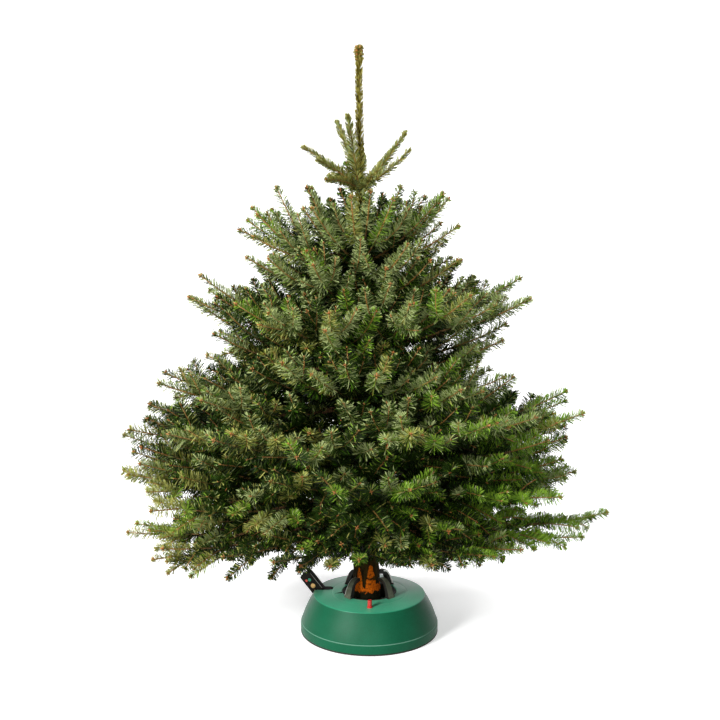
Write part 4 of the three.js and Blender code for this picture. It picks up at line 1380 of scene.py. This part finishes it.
# Needles. Flat blunt needles in combed ranks on both sides of each shoot, parted along its top,
# shorter and more swept towards its tip. Sprays differ in colour: grey-green high in the crown, olive
# on the left as a painted warm light, fresh green low on the right, and dark inside and low in the
# middle as painted shade, and on old shoots, partly their own colour and partly painted shade. Each
# colour comes in a lit, a middle and a shaded copy: painted light and shade, taken by a needle's rank.

NEEDLE_LENGTH = 24.6 * MM
NEEDLE_WIDTH = 1.9 * MM
COMB_STEPS = np.array([4.6, 5.6, 7.8, 10.5, 13.5, 17.0]) * MM    # from tuft to tuft, by shoot's age
LEADER_STEP = 2.3 * MM
TOP_STEP = 2.7 * MM
AGE_KEEP = np.array([1.0, 0.95, 0.85, 0.75, 0.7, 0.6])            # share that is left, by shoot's age
OLDEST = len(AGE_KEEP) - 1
END_NEEDLES = 20                         # short ones round the bud at the tip
RANKS = np.radians([6, 24, 42, 60, 78, -14, -36, -60])            # a needle's rise over the level
RANK_KEEP = np.array([1.0, 0.95, 0.9, 0.75, 0.5, 0.85, 0.6, 0.3])
# A rank's copy of its family's colour: the lit copy on the upper ranks and the shaded one on the lower,
# painted light and shade.
RANK_SHADE_STEP = np.array([1, 0, 0, 0, 0, 1, 2, 2])
PIECE_LIMIT = 186000                     # triangles
# For each family a lit, a middle and a shaded copy: painted light and shade. The dark family is painted
# shade throughout.
NEEDLE_PAINTS = {
    "grey": [(160, 173, 114), (90, 106, 49), (35, 50, 11)],
    "olive": [(164, 165, 88), (110, 113, 42), (52, 61, 12)],
    "fresh": [(126, 162, 50), (64, 104, 14), (28, 52, 2)],
    "deep": [(40, 62, 14), (20, 36, 4), (10, 20, 1)],
    "tip": [(166, 158, 78), (124, 114, 42), (62, 56, 12)],
}
SHADE_STEPS = 3
needle_finishes = []
for family, colours in NEEDLE_PAINTS.items():
    for shade_step, colour in enumerate(colours):
        needle_finish, needle_shader, _ = new_finish(f"needle_{family}_{shade_step}", paint(*colour), 0.5)
        needle_shader.inputs["Specular IOR Level"].default_value = 0.12
        needle_finishes.append(needle_finish)


def ramp(value, start, end):
    """0 at start, 1 at end, straight between them and level beyond. Start may be the higher one."""
    return np.clip((value - start) / (end - start), 0, 1)


shoot_middle, shoot_heading = along_shoots(np.arange(len(shoots)), np.full(len(shoots), 0.5))
shoot_reach, shoot_turn = polar(shoot_middle)
middle_x, middle_z = shoot_middle[:, 0], shoot_middle[:, 2]
room_there = np.array([crown_room(turn, z) for turn, z in zip(shoot_turn, middle_z)])
inside = ramp(room_there - shoot_reach, 0.05, 0.20)
height_share = ramp(middle_z, 0.25, 1.0)
left_share = ramp(middle_x, 0.25, -0.25)
low_middle = ramp(middle_z, 0.55, 0.35) * ramp(np.abs(middle_x - 0.05), 0.30, 0.15)
low_left = ramp(middle_z, 0.49, 0.39) * ramp(middle_x, -0.15, -0.30)
low_right = ramp(middle_z, 0.50, 0.35) * ramp(middle_x, 0.15, 0.30)
mid_left = ramp(middle_z, 0.42, 0.50) * ramp(middle_z, 0.86, 0.76) * ramp(middle_x, -0.10, -0.25)
# Lighter copies: painted light on the sprays low on the left and on the right, and the paler own colour
# of this year's shoots.
painted_light_and_youth = 0.8 * low_left + 0.55 * low_right + 0.35 * ((shoot_order < 2) & (shoot_age == 0))

# How likely a spray is to be of each family: grey, olive, fresh and a dark one. Olive weighs most
# on the left, a painted warm light. The dark family is painted shade, dealt inside the crown, low in
# the middle and in the middle left, and on old shoots, where it is partly their own darker colour.
# The leader's needles are all of the last family, tip, and the top whorl's are grey, olive or tip.
grey_weight = 0.15 + 1.5 * height_share + 0.8 * np.clip(shoot_heading[:, 2] - 0.3, 0, 1)
olive_weight = 1.3 * left_share * (1 - height_share) + 0.15 * height_share
fresh_weight = 1.2 * (1 - left_share) * (1 - height_share) + 0.3 + 2.6 * low_right
painted_shade_weight = 0.15 + (5 - 4 * low_right) * inside + 0.3 * shoot_age + 3.4 * low_middle + 1.1 * mid_left
odds = np.stack([grey_weight, olive_weight, fresh_weight, painted_shade_weight], -1)
odds = np.cumsum(odds, 1) / odds.sum(1, keepdims=True)
odds[shoot_row == LEADER_ROW] = [0, 0, 0, 0]
odds[shoot_row == TOP_ROW] = [0.4, 0.65, 0.65, 0.65]
shoot_family = (chance.random(len(shoots))[:, None] > odds).sum(1)

age_class = np.clip(shoot_age, 0, OLDEST)
comb_step = COMB_STEPS[age_class]
comb_step[shoot_row == LEADER_ROW] = LEADER_STEP
comb_step[shoot_row == TOP_ROW] = TOP_STEP
comb_count = np.maximum(3, np.round(shoot_length / comb_step)).astype(int)
comb_count[shoot_age > OLDEST] = 0
keep_share = AGE_KEEP[age_class] * (1 - 0.35 * inside * (shoot_age > 0))
face_cost = 4 * comb_count * RANK_KEEP.sum() * keep_share + 3 * END_NEEDLES * (shoot_age == 0)


def needle_spray(which):
    """Points, faces and finishes of the needles on some shoots.

    Each tuft of a shoot has a needle of each rank on both sides, thinned by chance. A needle leaves
    its shoot at the angle spread, in the plane that its rank and its side give, and is a flat blade
    of two faces that widens towards its slanted end.
    """
    slots = 2 * len(RANKS)
    count = comb_count[which] * slots
    owner = np.repeat(which, count)
    number = np.arange(len(owner)) - np.repeat(np.cumsum(count) - count, count)
    rank = number % slots // 2
    kept = chance.random(len(owner)) < RANK_KEEP[rank] * keep_share[owner]
    owner, number, rank = owner[kept], number[kept], rank[kept]
    sign = np.where(number % 2 == 0, -1.0, 1.0)
    tuft = number // slots + 0.5 + 0.25 * sign + chance.normal(0, 0.12, len(owner))
    t = np.clip(tuft / comb_count[owner], 0.01, 0.995)

    # The short needles round each end bud come after the others; the top whorl has twice as many.
    end_count = END_NEEDLES * (shoot_age[which] == 0) * (1 + (shoot_row[which] == TOP_ROW))
    ends = np.repeat(which, end_count)
    at_end = np.arange(len(owner) + len(ends)) >= len(owner)
    owner = np.concatenate([owner, ends])
    rank = np.concatenate([rank, chance.integers(0, 5, len(ends))])
    sign = np.concatenate([sign, chance.choice([-1.0, 1.0], len(ends))])
    t = np.concatenate([t, 1 - chance.uniform(0, 0.006, len(ends)) / shoot_length[ends]])
    place, heading = along_shoots(owner, t)
    side, over = brush_frame(heading, shoot_up[owner])
    in_leader = shoot_row[owner] == LEADER_ROW
    in_top = shoot_row[owner] == TOP_ROW
    youth = shoot_age[owner] == 0

    lean = RANKS[rank] + chance.normal(0, 0.07, len(owner))
    wrap = np.maximum(shoot_wrap[owner], np.interp(place[:, 2], (0.4, 1.0), (0.10, 0.65)))
    lean = np.where(at_end | (chance.random(len(owner)) < wrap),
                    chance.uniform(-1.55, 1.55, len(owner)), lean)
    near_tip = np.where(youth, ramp(t, 0.82, 1.0), 0)
    near_foot = ramp(t, 0.16, 0.0)
    upper = np.abs(RANKS[rank]) > 0.8
    high = ramp(place[:, 2], 0.60, 0.95) * ~in_leader
    spread = 72 - 10 * t - 18 * near_tip ** 2 - 8 * upper * (1 - near_tip) - 12 * t * high
    spread = np.radians(spread - 26 * in_leader - 16 * in_top)
    spread = spread + chance.normal(0, 0.05 + 0.09 * near_tip)
    spread = np.where(at_end, chance.uniform(0.2, 1.9, len(owner)), spread)
    round_way = (sign * np.cos(lean))[:, None] * side + np.sin(lean)[:, None] * over
    way = np.cos(spread)[:, None] * heading + np.sin(spread)[:, None] * round_way

    taper = (1 - 0.36 * near_tip ** 1.5 - 0.3 * near_foot - 0.15 * upper) \
        * (1 - 0.32 * high * t * youth)
    short = np.where(in_leader, 0.62, np.where(in_top, 0.92, 1.0))
    short = short * np.clip(0.66 + 4.2 * shoot_length[owner], 0.76, 1)
    short = short * np.minimum(vigour(place[:, 2]), 1)
    length = NEEDLE_LENGTH * taper * short * chance.uniform(0.84, 1.08, len(owner))
    length = np.where(at_end, chance.uniform(0.008, 0.0115, len(owner)), length)
    roll = chance.normal(0, 1.0, len(owner))
    flat = unit(over - np.einsum("ij,ij->i", over, way)[:, None] * way)
    face = np.cos(roll)[:, None] * flat + np.sin(roll)[:, None] * np.cross(way, flat)
    width = NEEDLE_WIDTH * (1 + 0.7 * inside[owner]) * np.where(in_leader | in_top, 0.75, 1.0) \
        * chance.uniform(0.88, 1.12, len(owner))
    wide = np.cross(way, face) * width[:, None]
    girth = girth_start[owner] * (1 - t) + girth_end[owner] * t
    base = place + 0.7 * girth[:, None] * round_way
    tip = base + length[:, None] * way

    # Half of the needles take their spray's family, and the others one by its odds.
    # A needle's copy: painted light or shade by its rank; darker on older shoots, partly their own colour
    # and partly painted shade; lighter on young shoots and, as painted light, on the lit low sprays.
    shade_step = RANK_SHADE_STEP[rank] + ~youth - (chance.random(len(owner)) < painted_light_and_youth[owner])
    stray = (chance.random(len(owner)) < 0.55) * chance.integers(-1, 2, len(owner))
    shade_step = np.clip(shade_step + stray, 0, SHADE_STEPS - 1)
    mixed = (chance.random(len(owner))[:, None] > odds[owner]).sum(1)
    family = np.where(chance.random(len(owner)) < 0.5 + 0.5 * in_top, mixed, shoot_family[owner])

    slant = (0.08 * length * chance.choice([-1, 1], len(owner)))[:, None] * way
    blade = np.stack([base - 0.3 * wide, base + 0.3 * wide, tip + 0.42 * wide + slant,
                      tip - 0.42 * wide - slant], 1)
    corner = np.array([[0, 1, 2], [0, 2, 3]])
    faces = corner[None] + 4 * np.arange(len(blade))[:, None, None]
    return blade.reshape(-1, 3), faces.reshape(-1, 3), np.repeat(SHADE_STEPS * family + shade_step, 2)


groups, load = [[]], 0
for name in dict.fromkeys(shoot.node for shoot in shoots):
    cost = face_cost[shoot_node == name].sum()
    if load + cost > PIECE_LIMIT:
        groups.append([])
        load = 0
    groups[-1].append(name)
    load += cost
for number, names in enumerate(groups):
    spray_points, spray_faces, spray_finish = needle_spray(np.flatnonzero(np.isin(shoot_node, names)))
    piece = make_piece(f"needles_{number + 1}", spray_points, spray_faces, needle_finishes,
                       spray_finish, smooth=False)
    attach(piece, "root")
    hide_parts(*names)
